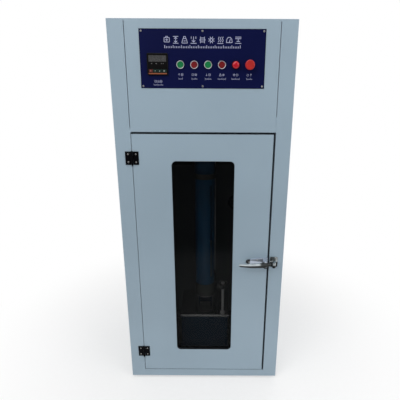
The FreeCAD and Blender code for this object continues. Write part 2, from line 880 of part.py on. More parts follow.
def stop_head():
    """Mushroom head of the stop switch."""
    r = stop_head_radius
    back = -stop_neck - running_fit
    tip = back - stop_head_thickness
    bore = stop_stem_radius * 0.7 + running_fit
    end = -stop_neck - stop_spigot - running_fit * 4
    profile = [(bore, back), (r * 0.75, back), (r, back - 5), (r, back - 8), (r * 0.8, tip), (0, tip), (0, end), (bore, end)]
    return turned(profile, (switch_x(stop_index), plate_front, switch_height), (0, 1, 0))


def counter_front():
    """Outer face of the preset counter."""
    return plate_front - counter_reach


def key_x(index):
    """Centre of one key under the counter's display."""
    return counter_x + (index - (key_count - 1) / 2) * key_pitch


def counter_case():
    """Counter housing with a recessed display and a pocket for each key."""
    half = counter_size / 2
    face = counter_front()
    bezel = slab(counter_x - half, counter_x + half, counter_z - half, counter_z + half, face, plate_front, counter_radius)
    bezel = bezel.makeChamfer(1.2, [e for e in bezel.Edges if abs(e.BoundBox.YMax - face) < 1e-6])
    inner = counter_body / 2
    body = box(counter_x - inner, counter_x + inner, plate_front - 1, plate_front + counter_body_depth,
               counter_z - inner, counter_z + inner)
    recess = slab(counter_x - display_width / 2, counter_x + display_width / 2, counter_z + display_rise - display_height / 2,
                  counter_z + display_rise + display_height / 2, face - 1, face + display_thickness + 1, 1.0)
    pockets = []
    for i in range(key_count):
        w = key_width / 2 + key_clearance
        h = key_height / 2 + key_clearance
        z = counter_z - key_drop
        depth = key_depth - key_proud + key_travel + key_clearance
        pockets.append(box(key_x(i) - w, key_x(i) + w, face - 1, face + depth, z - h, z + h))
    return cleared(fused([bezel, body]), [recess] + pockets)


def counter_display():
    """Display window seated on the floor of its recess."""
    face = counter_front() + 1
    return slab(counter_x - display_width / 2, counter_x + display_width / 2, counter_z + display_rise - display_height / 2,
                counter_z + display_rise + display_height / 2, face, face + display_thickness, 1.0)


def counter_key(index):
    """One key of the counter."""
    face = counter_front() - key_proud
    z = counter_z - key_drop
    return slab(key_x(index) - key_width / 2, key_x(index) + key_width / 2, z - key_height / 2, z + key_height / 2,
                face, face + key_depth, 1.0)


# Anvil, impact bar and clamp post
def anvil_base():
    """Cast pedestal under the anvil plate, with a plinth along its foot."""
    y0 = front + anvil_front
    half = anvil_width / 2
    top_z = anvil_top - anvil_thickness
    block = box(-half + 4, half - 4, y0 + 4, y0 + anvil_depth - 4, chamber_floor, top_z)
    uprights = [e for e in block.Edges if abs(e.tangentAt(0).z) > 0.99]
    block = block.makeFillet(6.0, uprights)
    plinth = box(-half, half, y0, y0 + anvil_depth, chamber_floor, chamber_floor + 12)
    return fused([block, plinth])


def anvil_plate():
    """Ground steel plate, drilled for the clamp post."""
    y0 = front + anvil_front
    half = anvil_width / 2
    plate = box(-half, half, y0, y0 + anvil_depth, anvil_top - anvil_thickness, anvil_top)
    rim = [e for e in plate.Edges if abs(e.BoundBox.ZMin - anvil_top) < 1e-6]
    plate = plate.makeChamfer(1.0, rim)
    y = front + post_inset
    return plate.cut(rod(post_radius, (post_x, y, anvil_top - 8), (post_x, y, anvil_top + 1)))


def bar_holder():
    """Two slotted uprights that keep the bar square across the middle of the anvil."""
    half = holder_span / 2
    depth = holder_depth / 2
    strip = box(-half - holder_wall, half + holder_wall, tube_y - depth, tube_y + depth, anvil_top, anvil_top + 4)
    holder = [strip]
    for x in (-half - holder_wall, half):
        holder.append(box(x, x + holder_wall, tube_y - depth, tube_y + depth, anvil_top, anvil_top + holder_height))
    r = bar_radius + running_fit
    reach = half + holder_wall + 1
    groove = rod(r, (-reach, tube_y, bar_z), (reach, tube_y, bar_z))
    mouth = box(-reach, reach, tube_y - r, tube_y + r, bar_z, anvil_top + holder_height + 1)
    return fused(holder).cut([groove, mouth])


def impact_bar():
    """Round steel bar laid across the cell."""
    half = bar_length / 2
    return rod(bar_radius, (-half, tube_y, bar_z), (half, tube_y, bar_z))


def knob_bottom():
    """Underside of the hand knob."""
    return anvil_top + post_height - 8


def clamp_post():
    """Post with its foot nut, the collar under the knob and the cap bolt above it."""
    y = front + post_inset
    r = post_radius
    z = anvil_top
    low = knob_bottom()
    high = low + knob_thickness - 3
    profile = [(0, z - 8), (r, z - 8), (r, low - 6), (r * 1.5, low - 6), (r * 1.5, low - running_fit), (r, low - running_fit),
               (r, high + running_fit), (0, high + running_fit)]
    nuts = [cornered(r * 1.9, 6, (post_x, y, z), (0, 0, 1), 9),
            cornered(r * 1.5, 6, (post_x, y, high + running_fit), (0, 0, 1), 6)]
    return fused([turned(profile, (post_x, y, 0), (0, 0, 1))] + nuts)


def clamp_knob():
    """Lobed hand knob, hollowed at the top round the cap bolt."""
    y = front + post_inset
    low = knob_bottom()
    high = low + knob_thickness
    r = knob_radius
    knob = pipe(r, post_radius + running_fit, (post_x, y, low), (post_x, y, high))
    cutters = [rod(r * 0.44, (post_x, y, high - 3), (post_x, y, high + 1))]
    for i in range(knob_lobes):
        angle = 2 * math.pi * (i + 0.5) / knob_lobes
        x = post_x + (r * 1.2) * math.cos(angle)
        yy = y + (r * 1.2) * math.sin(angle)
        cutters.append(rod(r * 0.36, (x, yy, low - 1), (x, yy, high + 1)))
    return cleared(knob, cutters)


# Guide tube, weight and clamps
def guide_tube():
    """Tube with a narrow sight slot at the front and a wider slot behind for the lifting arm."""
    tube = pipe(tube_radius, tube_radius - tube_wall, (0, tube_y, tube_bottom), (0, tube_y, tube_top))
    half = sight_slot_width / 2
    sight = box(-half, half, -tube_radius - 5, -tube_radius / 2, tube_bottom + sight_slot_start, upper_clamp_z - 30)
    sight.rotate(Vector(0, 0, 0), Vector(0, 0, 1), sight_slot_angle)
    sight.translate(Vector(0, tube_y, 0))
    arm = box(-arm_slot_width / 2, arm_slot_width / 2, tube_y, tube_y + tube_radius + 5, arm_slot_start, tube_top + 1)
    return cleared(tube, [sight, arm])


def clamp_cheeks(z0, z1):
    """Side arms from the guide tube back to the lift column."""
    inner = carriage_plate_half_width + 4
    return mirrored_pair(box(inner, column_half_width, tube_y, column_face, z0, z1))


def tube_clamps():
    """End collar under the guide tube, and the upper clamp that is open behind for the arm."""
    seat = 6.0
    y = tube_y
    collar = rod(collar_radius, (0, y, collar_bottom), (0, y, tube_bottom + seat))
    cheeks = clamp_cheeks(collar_bottom + 8, tube_bottom - 4)
    bores = [rod(tube_radius - tube_wall, (0, y, collar_bottom - 1), (0, y, tube_bottom + seat + 1)),
             rod(tube_radius, (0, y, tube_bottom), (0, y, tube_bottom + seat + 1))]
    lower = cleared(fused([collar] + cheeks), bores)
    z0 = upper_clamp_z
    z1 = upper_clamp_z + clamp_band
    band = rod(collar_radius + 2, (0, y, z0), (0, y, z1))
    gap = arm_slot_width / 2 + 4
    behind = box(-gap, gap, y, y + collar_radius + 5, z0 - 1, z1 + 1)
    upper = cleared(fused([band] + clamp_cheeks(z0, z1)), [rod(tube_radius, (0, y, z0 - 1), (0, y, z1 + 1)), behind])
    return [lower, upper]


def drop_weight():
    """Steel weight with a chamfered striking end."""
    r = weight_radius
    h = weight_height
    return turned([(0, 0), (r - 3, 0), (r, 3), (r, h), (0, h)], (0, tube_y, weight_bottom), (0, 0, 1))


# Lift
def lift_column():
    """Channel column, the linear rail on its face and the fixed pin of the idler."""
    x = column_half_width
    t = column_web
    y = column_face
    outline = [(-x, y), (x, y), (x, chamber_back), (x - t, chamber_back), (x - t, y + t), (t - x, y + t),
               (t - x, chamber_back), (-x, chamber_back)]
    column = plan_prism(outline, chamber_floor, column_top)
    shaft_hole = rod(shaft_radius + 1, (0, y - 1, drive_z), (0, y + t + 1, drive_z))
    pin_hole = rod(shaft_radius, (0, y - 1, idler_z), (0, y + t + 1, idler_z))
    column = cleared(column, [shaft_hole, pin_hole])
    rail = box(-rail_half_width, rail_half_width, rail_face, column_face, rail_bottom, rail_top)
    sides = [e for e in rail.Edges if abs(e.tangentAt(0).z) > 0.99 and e.CenterOfMass.y < rail_face + 1]
    rail = rail.makeChamfer(1.0, sides)
    reach = pulley_width / 2 + pulley_flange + running_fit
    profile = [(0, -reach - 3), (shaft_radius + 3, -reach - 3), (shaft_radius + 3, -reach), (shaft_radius, -reach),
               (shaft_radius, column_face + t - belt_y), (0, column_face + t - belt_y)]
    pin = turned(profile, (0, belt_y, idler_z), (0, 1, 0))
    return [column, rail, pin]


def pulley(z, bore):
    """Toothed pulley with a flange on each side."""
    r = pulley_radius
    half = pulley_width / 2
    outline = []
    for i in range(pulley_teeth):
        for share, depth in ((0.0, 0.0), (0.45, 0.0), (0.6, pulley_tooth), (0.85, pulley_tooth)):
            angle = 2 * math.pi * (i + share) / pulley_teeth
            outline.append(((r - depth) * math.cos(angle), z + (r - depth) * math.sin(angle)))
    wheel = front_prism(outline, belt_y - half, belt_y + half)
    rim = r + belt_thickness + 0.6
    rims = [cornered(rim, 32, (0, y, z), (0, 1, 0), pulley_rim) for y in (belt_y - half - pulley_rim, belt_y + half)]
    solid = fused([wheel] + rims)
    return solid.cut(rod(bore, (0, belt_y - half - 2, z), (0, belt_y + half + 2, z))) if bore else solid


def drive_pulley():
    """Drive pulley with the shaft that reaches into the gearbox."""
    wheel = pulley(drive_z, 0.0)
    shaft = rod(shaft_radius, (0, belt_y, drive_z), (0, column_face + column_web + gearbox_length / 2, drive_z))
    return fused([wheel, shaft])


def lift_belt():
    """Closed belt round both pulleys."""
    inner = pulley_radius + carriage_gap
    outer = inner + belt_thickness
    y0 = belt_y - belt_width / 2
    y1 = belt_y + belt_width / 2

    def loop(r):
        return fused([box(-r, r, y0, y1, idler_z, drive_z), rod(r, (0, y0, idler_z), (0, y1, idler_z)),
                      rod(r, (0, y0, drive_z), (0, y1, drive_z))])

    return loop(outer).cut(loop(inner))


def lift_motor():
    """Square gearbox bolted behind the column and the round motor on its end."""
    y0 = column_face + column_web
    y1 = y0 + gearbox_length
    y2 = y1 + motor_length
    half = motor_radius
    gearbox = box(-half, half, y0, y1, drive_z - half, drive_z + half)
    motor = rod(motor_radius - 4, (0, y1, drive_z), (0, y2, drive_z))
    terminal = box(-18, 18, y1 + 14, y2 - 20, drive_z + motor_radius - 10, drive_z + motor_radius + 14)
    bore = rod(shaft_radius + running_fit, (0, y0 - 1, drive_z), (0, y0 + gearbox_length / 2 + 1, drive_z))
    return fused([gearbox, motor, terminal]).cut(bore)


def lift_carriage():
    """Runner block on the rail, its face plate, the belt clamp and the arm over the weight."""
    z = carriage_z
    block_front = rail_face - 14
    plate_face = block_front - carriage_plate
    block = box(-carriage_half_width, carriage_half_width, block_front, column_face - carriage_gap,
                z - carriage_length / 2, z + carriage_length / 2)
    track = box(-rail_half_width - running_fit, rail_half_width + running_fit, rail_face - running_fit, column_face + 1,
                z - carriage_length, z + carriage_length)
    half = carriage_plate_half_width
    plate = slab(-half, half, z - carriage_plate_height / 2, z + carriage_plate_height / 2, plate_face, block_front, 6.0)
    arm = box(-arm_thickness / 2, arm_thickness / 2, tube_y - arm_thickness, plate_face, magnet_top, arm_top)
    web = front_to_back_gusset(plate_face, z)
    run = pulley_radius + carriage_gap
    belt_face = belt_y - belt_width / 2 - carriage_gap
    clamp = box(run - 3, run + belt_thickness + 3, block_front, belt_face, z - 20, z + 20)
    return fused([block.cut(track), plate, arm, web, clamp])


def front_to_back_gusset(plate_face, z):
    """Tapering rib that stiffens the arm behind the tube."""
    reach = tube_y + tube_radius + 6
    half = arm_thickness / 2
    points = [Vector(-half, plate_face, z), Vector(-half, plate_face, z + carriage_plate_height / 2 - 6),
              Vector(-half, reach, arm_top), Vector(-half, reach, z)]
    return Part.Face(Part.makePolygon(points + [points[0]])).extrude(Vector(arm_thickness, 0, 0))


def electromagnet():
    """Round holding magnet."""
    return rod(magnet_radius, (0, tube_y, magnet_bottom), (0, tube_y, magnet_bottom + magnet_height))


# Exhaust, port, inlet and electrics
def fan_frame():
    """Fan housing behind the chamber wall and the finger guard inside the chamber."""
    half = fan_frame_size / 2
    y0 = chamber_back + liner_sheet
    y1 = y0 + fan_frame_depth
    housing = slab(fan_x - half, fan_x + half, fan_z - half, fan_z + half, y0, y1)
    housing = housing.cut(rod(fan_bore_radius, (fan_x, y0 - 1, fan_z), (fan_x, y1 + 1, fan_z)))
    spider_y = y1 - fan_spider
    spider = [rod(fan_hub_radius, (fan_x, spider_y, fan_z), (fan_x, y1, fan_z))]
    spider += [spoke(0, spider_y, y1, 6, 120 * i + 30) for i in range(3)]
    housing = fused([housing] + spider)
    housing = housing.cut(rod(fan_shaft_radius + running_fit, (fan_x, spider_y - 1, fan_z), (fan_x, y1 + 1, fan_z)))
    g0 = chamber_back - guard_depth
    guard = slab(fan_x - half, fan_x + half, fan_z - half, fan_z + half, g0, chamber_back, guard_radius)
    guard = guard.cut(rod(fan_bore_radius, (fan_x, g0 - 1, fan_z), (fan_x, chamber_back + 1, fan_z)))
    wire = guard_wire / 2
    rings = [pipe(r + wire, r - wire, (fan_x, g0, fan_z), (fan_x, g0 + guard_wire, fan_z)) for r in guard_rings]
    bars = [spoke(-fan_bore_radius - 2, g0, g0 + guard_wire, guard_wire, angle) for angle in (45, 135)]
    return [housing, fused([guard] + rings + bars)]


def spoke(start, y0, y1, width, angle):
    """Flat bar across the fan bore, turned about the fan's axis."""
    bar = box(start, fan_bore_radius + 2, y0, y1, -width / 2, width / 2)
    bar.rotate(Vector(0, 0, 0), Vector(0, 1, 0), angle)
    bar.translate(Vector(fan_x, 0, fan_z))
    return bar


def fan_rotor():
    """Fan wheel: hub, pitched blades and the short shaft that runs in the housing."""
    y0 = chamber_back + liner_sheet + fan_end_gap
    depth = fan_frame_depth - fan_spider - fan_end_gap - 2
    hub = rod(fan_hub_radius, (fan_x, y0, fan_z), (fan_x, y0 + depth, fan_z))
    shaft = rod(fan_shaft_radius, (fan_x, y0 + depth - 1, fan_z), (fan_x, chamber_back + liner_sheet + fan_frame_depth, fan_z))
    blades = []
    reach = fan_bore_radius - fan_blade_clearance
    for i in range(fan_blades):
        blade = box(fan_hub_radius - 3, reach - 1.5, -1.0, 1.0, -13, 13)
        blade.rotate(Vector(0, 0, 0), Vector(1, 0, 0), fan_blade_pitch)
        blade.rotate(Vector(0, 0, 0), Vector(0, 1, 0), 360.0 * i / fan_blades)
        blade.translate(Vector(fan_x, y0 + depth / 2, fan_z))
        blades.append(blade)
    return fused([hub, shaft] + blades)


def exhaust_spigot():
    """Duct from the fan through the rear panel, for a hose of the same bore."""
    y0 = chamber_back + liner_sheet + fan_frame_depth
    flange = rod(spigot_radius + spigot_flange, (fan_x, y0, fan_z), (fan_x, y0 + spigot_sheet, fan_z))
    duct = rod(spigot_radius, (fan_x, y0, fan_z), (fan_x, rear + spigot_reach, fan_z))
    collar = rod(spigot_radius + spigot_collar, (fan_x, rear, fan_z), (fan_x, rear + spigot_sheet, fan_z))
    bore = rod(spigot_radius - spigot_wall, (fan_x, y0 - 1, fan_z), (fan_x, rear + spigot_reach + 1, fan_z))
    return fused([flange, duct, collar]).cut(bore)


def cable_port():
    """Lined port for test leads, from the chamber to the back of the cabinet."""
    outer = port_radius + port_wall
    y0 = chamber_back - 3
    sleeve = rod(outer, (port_x, y0, port_z), (port_x, rear + 3, port_z))
    flanges = [rod(outer + port_flange, (port_x, y0, port_z), (port_x, chamber_back, port_z)),
               rod(outer + port_flange, (port_x, rear, port_z), (port_x, rear + 3, port_z))]
    return fused([sleeve] + flanges).cut(rod(port_radius, (port_x, y0 - 1, port_z), (port_x, rear + 4, port_z)))


def power_inlet():
    """Mains inlet: flanged housing with a recess and three blades."""
    w = inlet_width / 2
    h = inlet_height / 2
    body = box(inlet_x - w, inlet_x + w, rear - 28, rear + 1, inlet_z - h, inlet_z + h)
    flange = slab(inlet_x - w - 5, inlet_x + w + 5, inlet_z - h - 4, inlet_z + h + 4, rear, rear + 3, 4.0)
    recess = slab(inlet_x - 13, inlet_x + 13, inlet_z - 9, inlet_z + 9, rear - 16, rear + 4, 2.0)
    blades = [box(inlet_x + dx - 1, inlet_x + dx + 1, rear - 17, rear - 1, inlet_z + dz - 2.5, inlet_z + dz + 2.5)
              for dx, dz in ((-7, -2), (0, 3), (7, -2))]
    return fused([fused([body, flange]).cut(recess)] + blades)


def control_gear():
    """Mounting sheet with a ribbed power supply and a row of relays, in the upper bay."""
    z = chamber_ceiling + liner_sheet
    x0 = gear_margin - chamber_half
    y0 = front + gear_inset
    sheet = box(x0, x0 + gear_sheet[0], y0, y0 + gear_sheet[1], z, z + shell_sheet)
    seat = z + shell_sheet
    x1 = x0 + gear_margin
    y1 = y0 + gear_margin
    supply = box(x1, x1 + supply_size[0], y1, y1 + supply_size[1], seat, seat + supply_size[2])
    pitch = supply_size[1] / (supply_vents + 1)
    vents = [box(x1 - 1, x1 + supply_size[0] + 1, y1 + pitch * (i + 1) - pitch / 4, y1 + pitch * (i + 1) + pitch / 4,
                 seat + supply_size[2] * 0.88, seat + supply_size[2] + 1) for i in range(supply_vents)]
    x2 = x0 + gear_sheet[0] - gear_margin - relay_rail_width
    x3 = x2 + (relay_rail_width - relay_size[0]) / 2
    rail = box(x2, x2 + relay_rail_width, y1, y0 + gear_sheet[1] - gear_margin, seat, seat + relay_rail_rise)
    on_rail = seat + relay_rail_rise
    relays = []
    for i in range(relay_count):
        y = y1 + relay_pitch * i
        relays.append(box(x3, x3 + relay_size[0], y, y + relay_size[1], on_rail, on_rail + relay_size[2]))
    return [sheet, cleared(supply, vents), rail] + relays


def build():
    """Write every sub-part."""
    os.makedirs("parts", exist_ok=True)
    left = side_panel()
    right = left.mirror(Vector(0, 0, 0), Vector(1, 0, 0))
    parts = {
        "front_frame": front_frame(), "left_side_panel": left, "right_side_panel": right,
        "rear_panel": rear_panel(), "rear_service_cover": rear_service_cover(), "top_cover": top_cover(),
        "base_pan": base_pan(), "levelling_feet": levelling_feet(), "chamber_liner": chamber_liner(),
        "door_pan": door_pan(), "door_inner_panel": door_inner_panel(),
        "window_glass": window_glass(), "door_seals": door_seals(), "hinge_frame_leaves": hinge_frame_leaves(),
        "hinge_door_leaves": hinge_door_leaves(), "latch_base": latch_base(), "latch_lever": latch_lever(),
        "latch_keeper": latch_keeper(), "fascia_panel": fascia_panel(), "control_plate": control_plate(),
        "cabinet_screws": cabinet_screws(), "door_screws": door_screws(),
        "button_bezels": [bezel_ring(i) for i in range(4)], "switch_bodies": [switch_body(i) for i in range(6)],
        "switch_collars": switch_collars(), "lamp_lens": lamp_lens(), "stop_stem": stop_stem(), "stop_head": stop_head(),
        "counter_case": counter_case(), "counter_display": counter_display(), "anvil_base": anvil_base(),
        "anvil_plate": anvil_plate(), "bar_holder": bar_holder(), "impact_bar": impact_bar(), "clamp_post": clamp_post(),
        "clamp_knob": clamp_knob(), "guide_tube": guide_tube(), "tube_clamps": tube_clamps(), "drop_weight": drop_weight(),
        "lift_column": lift_column(), "drive_pulley": drive_pulley(),
        "idler_pulley": pulley(idler_z, shaft_radius + running_fit), "lift_belt": lift_belt(), "lift_motor": lift_motor(),
        "lift_carriage": lift_carriage(), "electromagnet": electromagnet(), "fan_frame": fan_frame(),
        "fan_rotor": fan_rotor(), "exhaust_spigot": exhaust_spigot(), "cable_port": cable_port(),
        "power_inlet": power_inlet(), "control_gear": control_gear()}
    buttons = ("green_button_1", "red_button_1", "green_button_2", "red_button_2")
    for index, name in enumerate(buttons):
        parts[name] = push_button(index)
    for index in range(key_count):
        parts["counter_key_%d" % (index + 1)] = counter_key(index)
    for name, shape in parts.items():
        save(name, shape)


if __name__ == "__main__":
    build()
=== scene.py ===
"""Battery impact tester, dressed and lit.

The cabinet, its controls, the latch and the lift come from the frame. This script gives every surface
its finish, adds what is too fine for the frame, such as printed marks and digits, adds dark pieces that
paint shade in the screws' cross recesses, along the door's gap, on the window's sill and round the control
plate, adds a bright strip that paints a highlight on the anvil plate's front edge, and sets the lamps, the
floor and the camera.
"""

import logging
import math
from dataclasses import dataclass
from enum import Enum
from typing import Sequence

import bmesh
import bpy
from mathutils import Matrix, Vector
from mathutils.geometry import tessellate_polygon


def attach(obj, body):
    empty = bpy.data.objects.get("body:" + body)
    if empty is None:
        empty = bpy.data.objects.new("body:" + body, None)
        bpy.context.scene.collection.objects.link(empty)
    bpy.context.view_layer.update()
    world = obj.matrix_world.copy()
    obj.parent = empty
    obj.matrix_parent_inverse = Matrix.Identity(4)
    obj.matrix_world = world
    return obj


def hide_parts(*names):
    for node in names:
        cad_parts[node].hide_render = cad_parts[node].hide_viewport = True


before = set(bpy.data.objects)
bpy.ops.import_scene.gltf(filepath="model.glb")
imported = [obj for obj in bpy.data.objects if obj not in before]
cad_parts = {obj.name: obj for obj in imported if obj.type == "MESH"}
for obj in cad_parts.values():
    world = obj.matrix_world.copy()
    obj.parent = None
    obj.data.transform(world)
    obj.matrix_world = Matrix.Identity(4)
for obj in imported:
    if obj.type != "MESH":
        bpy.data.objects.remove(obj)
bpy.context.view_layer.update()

LOG = logging.getLogger("impact_tester")
Colour = tuple[float, float, float]
Pair = tuple[float, float]
Node = bpy.types.Node
Socket = bpy.types.NodeSocket

MM = 0.001
SHEET_FACE = 300.0
PLATE_FACE = -301.5
FIRST_SWITCH = -77.0
SWITCH_PITCH = 48.0
COUNTER_X = -155.5
HINGE_LEVELS = (146.0, 1016.0)
LATCH_LEVEL = 590.0
WELD_REACH = 0.004
SOFT_ANGLE = 38.0
SHARP_ANGLE = 34.0
SMOOTHEST = 0.04
DUST_DULLING = 0.3
WHITE = (1.0, 1.0, 1.0, 1.0)


class Facing(Enum):
    """Side of the cabinet that a piece looks out of, as the directions of the piece's own three axes."""

    FRONT = ((1, 0, 0), (0, 0, 1), (0, -1, 0))
    REAR = ((-1, 0, 0), (0, 0, 1), (0, 1, 0))


def placed(facing: Facing, x: float = 0.0, y: float = 0.0, z: float = 0.0, turn: float = 0.0) -> Matrix:
    """Give the matrix that sets a piece drawn flat on a side of the cabinet.

    Args:
        facing: Side that the piece's own Z axis points out of.
        x: Place of its origin across the cabinet, in millimetres.
        y: Place of its origin from front to back, in millimetres.
        z: Height of its origin, in millimetres.
        turn: Turn about the piece's own Z axis, in degrees.

    Returns:
        The matrix from the piece's own millimetres to the cabinet's.
    """
    axes = Matrix(facing.value).transposed().to_4x4()
    return Matrix.Translation((x, y, z)) @ axes @ Matrix.Rotation(math.radians(turn), 4, "Z")


def polar(radius: float, angle: float, centre: Pair = (0.0, 0.0)) -> Pair:
    """Give the point at a radius and an angle, in radians, about a centre."""
    return centre[0] + radius * math.cos(angle), centre[1] + radius * math.sin(angle)


def circle(radius: float, steps: int, centre: Pair = (0.0, 0.0)) -> list[Pair]:
    """Give the points of a circle, anticlockwise."""
    return [polar(radius, 2 * math.pi * step / steps, centre) for step in range(steps)]


def bar(start: Pair, end: Pair, width: float) -> list[Pair]:
    """Give the outline of a straight stroke with square ends.

    Args:
        start: First end of its centre line.
        end: Second end of its centre line.
        width: Stroke width in millimetres.

    Returns:
        The four corners, anticlockwise.
    """
    along = Vector(end) - Vector(start)
    side = Vector((-along.y, along.x)).normalized() * (width / 2)
    corners = (Vector(start) - side, Vector(end) - side, Vector(end) + side, Vector(start) + side)
    return [(corner.x, corner.y) for corner in corners]


def rectangle(width: float, height: float, centre: Pair = (0.0, 0.0)) -> list[Pair]:
    """Give the four corners of an upright rectangle about a centre."""
    x, y = centre
    return bar((x - width / 2, y), (x + width / 2, y), height)


class Graph:
    """A node tree with short calls for adding nodes and joining them."""

    def __init__(self, tree: bpy.types.NodeTree) -> None:
        """Hold the tree that the nodes go into."""
        self.tree = tree

    def add(self, kind: str, feeds: dict | None = None, **options: object) -> Node:
        """Add one node.

        Args:
            kind: The node's type, without the leading words ShaderNode.
            feeds: What goes into its inputs, by name or number: sockets are linked, other values are set.
            options: Properties of the node itself.

        Returns:
            The new node.
        """
        node = self.tree.nodes.new("ShaderNode" + kind)
        for key, value in options.items():
            setattr(node, key, value)
        for key, value in (feeds or {}).items():
            if isinstance(value, Socket):
                self.tree.links.new(value, node.inputs[key])
            else:
                node.inputs[key].default_value = value
        return node

    def feed(self, node: Node, name: str, value: Socket) -> None:
        """Link a socket to a named input of a node."""
        self.tree.links.new(value, node.inputs[name])

    def calc(self, kind: str, *terms: object) -> Socket:
        """Work out one Math node, such as MULTIPLY, from sockets or numbers in order."""
        return self.add("Math", dict(enumerate(terms)), operation=kind).outputs[0]

    def spread(
        self, value: object, low: float, high: float, to_low: float = 0.0, to_high: float = 1.0
    ) -> Socket:
        """Map a value smoothly from one range to another, held at both ends."""
        feeds = {0: value, 1: low, 2: high, 3: to_low, 4: to_high}
        return self.add("MapRange", feeds, interpolation_type="SMOOTHSTEP").outputs[0]

    def blend(self, share: object, first: object, second: object) -> Socket:
        """Mix two colours, all of the first at a share of 0 and all of the second at 1."""
        feeds = {0: share, 6: as_rgba(first), 7: as_rgba(second)}
        return self.add("Mix", feeds, data_type="RGBA").outputs[2]

    def place(self, stretch: Colour = (1.0, 1.0, 1.0)) -> Socket:
        """Give the surface's place in the object, in metres, drawn out along its axes by a stretch."""
        spot = self.add("TexCoord").outputs["Object"]
        return self.add("Mapping", {"Vector": spot, "Scale": stretch}).outputs[0]

    def noise(
        self, vector: object, scale: object, detail: float = 2.0, roughness: float = 0.5
    ) -> Socket:
        """Give a soft noise pattern around 0.5, with its scale in cells per metre."""
        feeds = {"Vector": vector, "Scale": scale, "Detail": detail, "Roughness": roughness}
        return self.add("TexNoise", feeds).outputs[0]


def as_rgba(value: object) -> object:
    """Give a colour its fourth number; sockets pass unchanged."""
    return (*value, 1.0) if isinstance(value, tuple) and len(value) == 3 else value


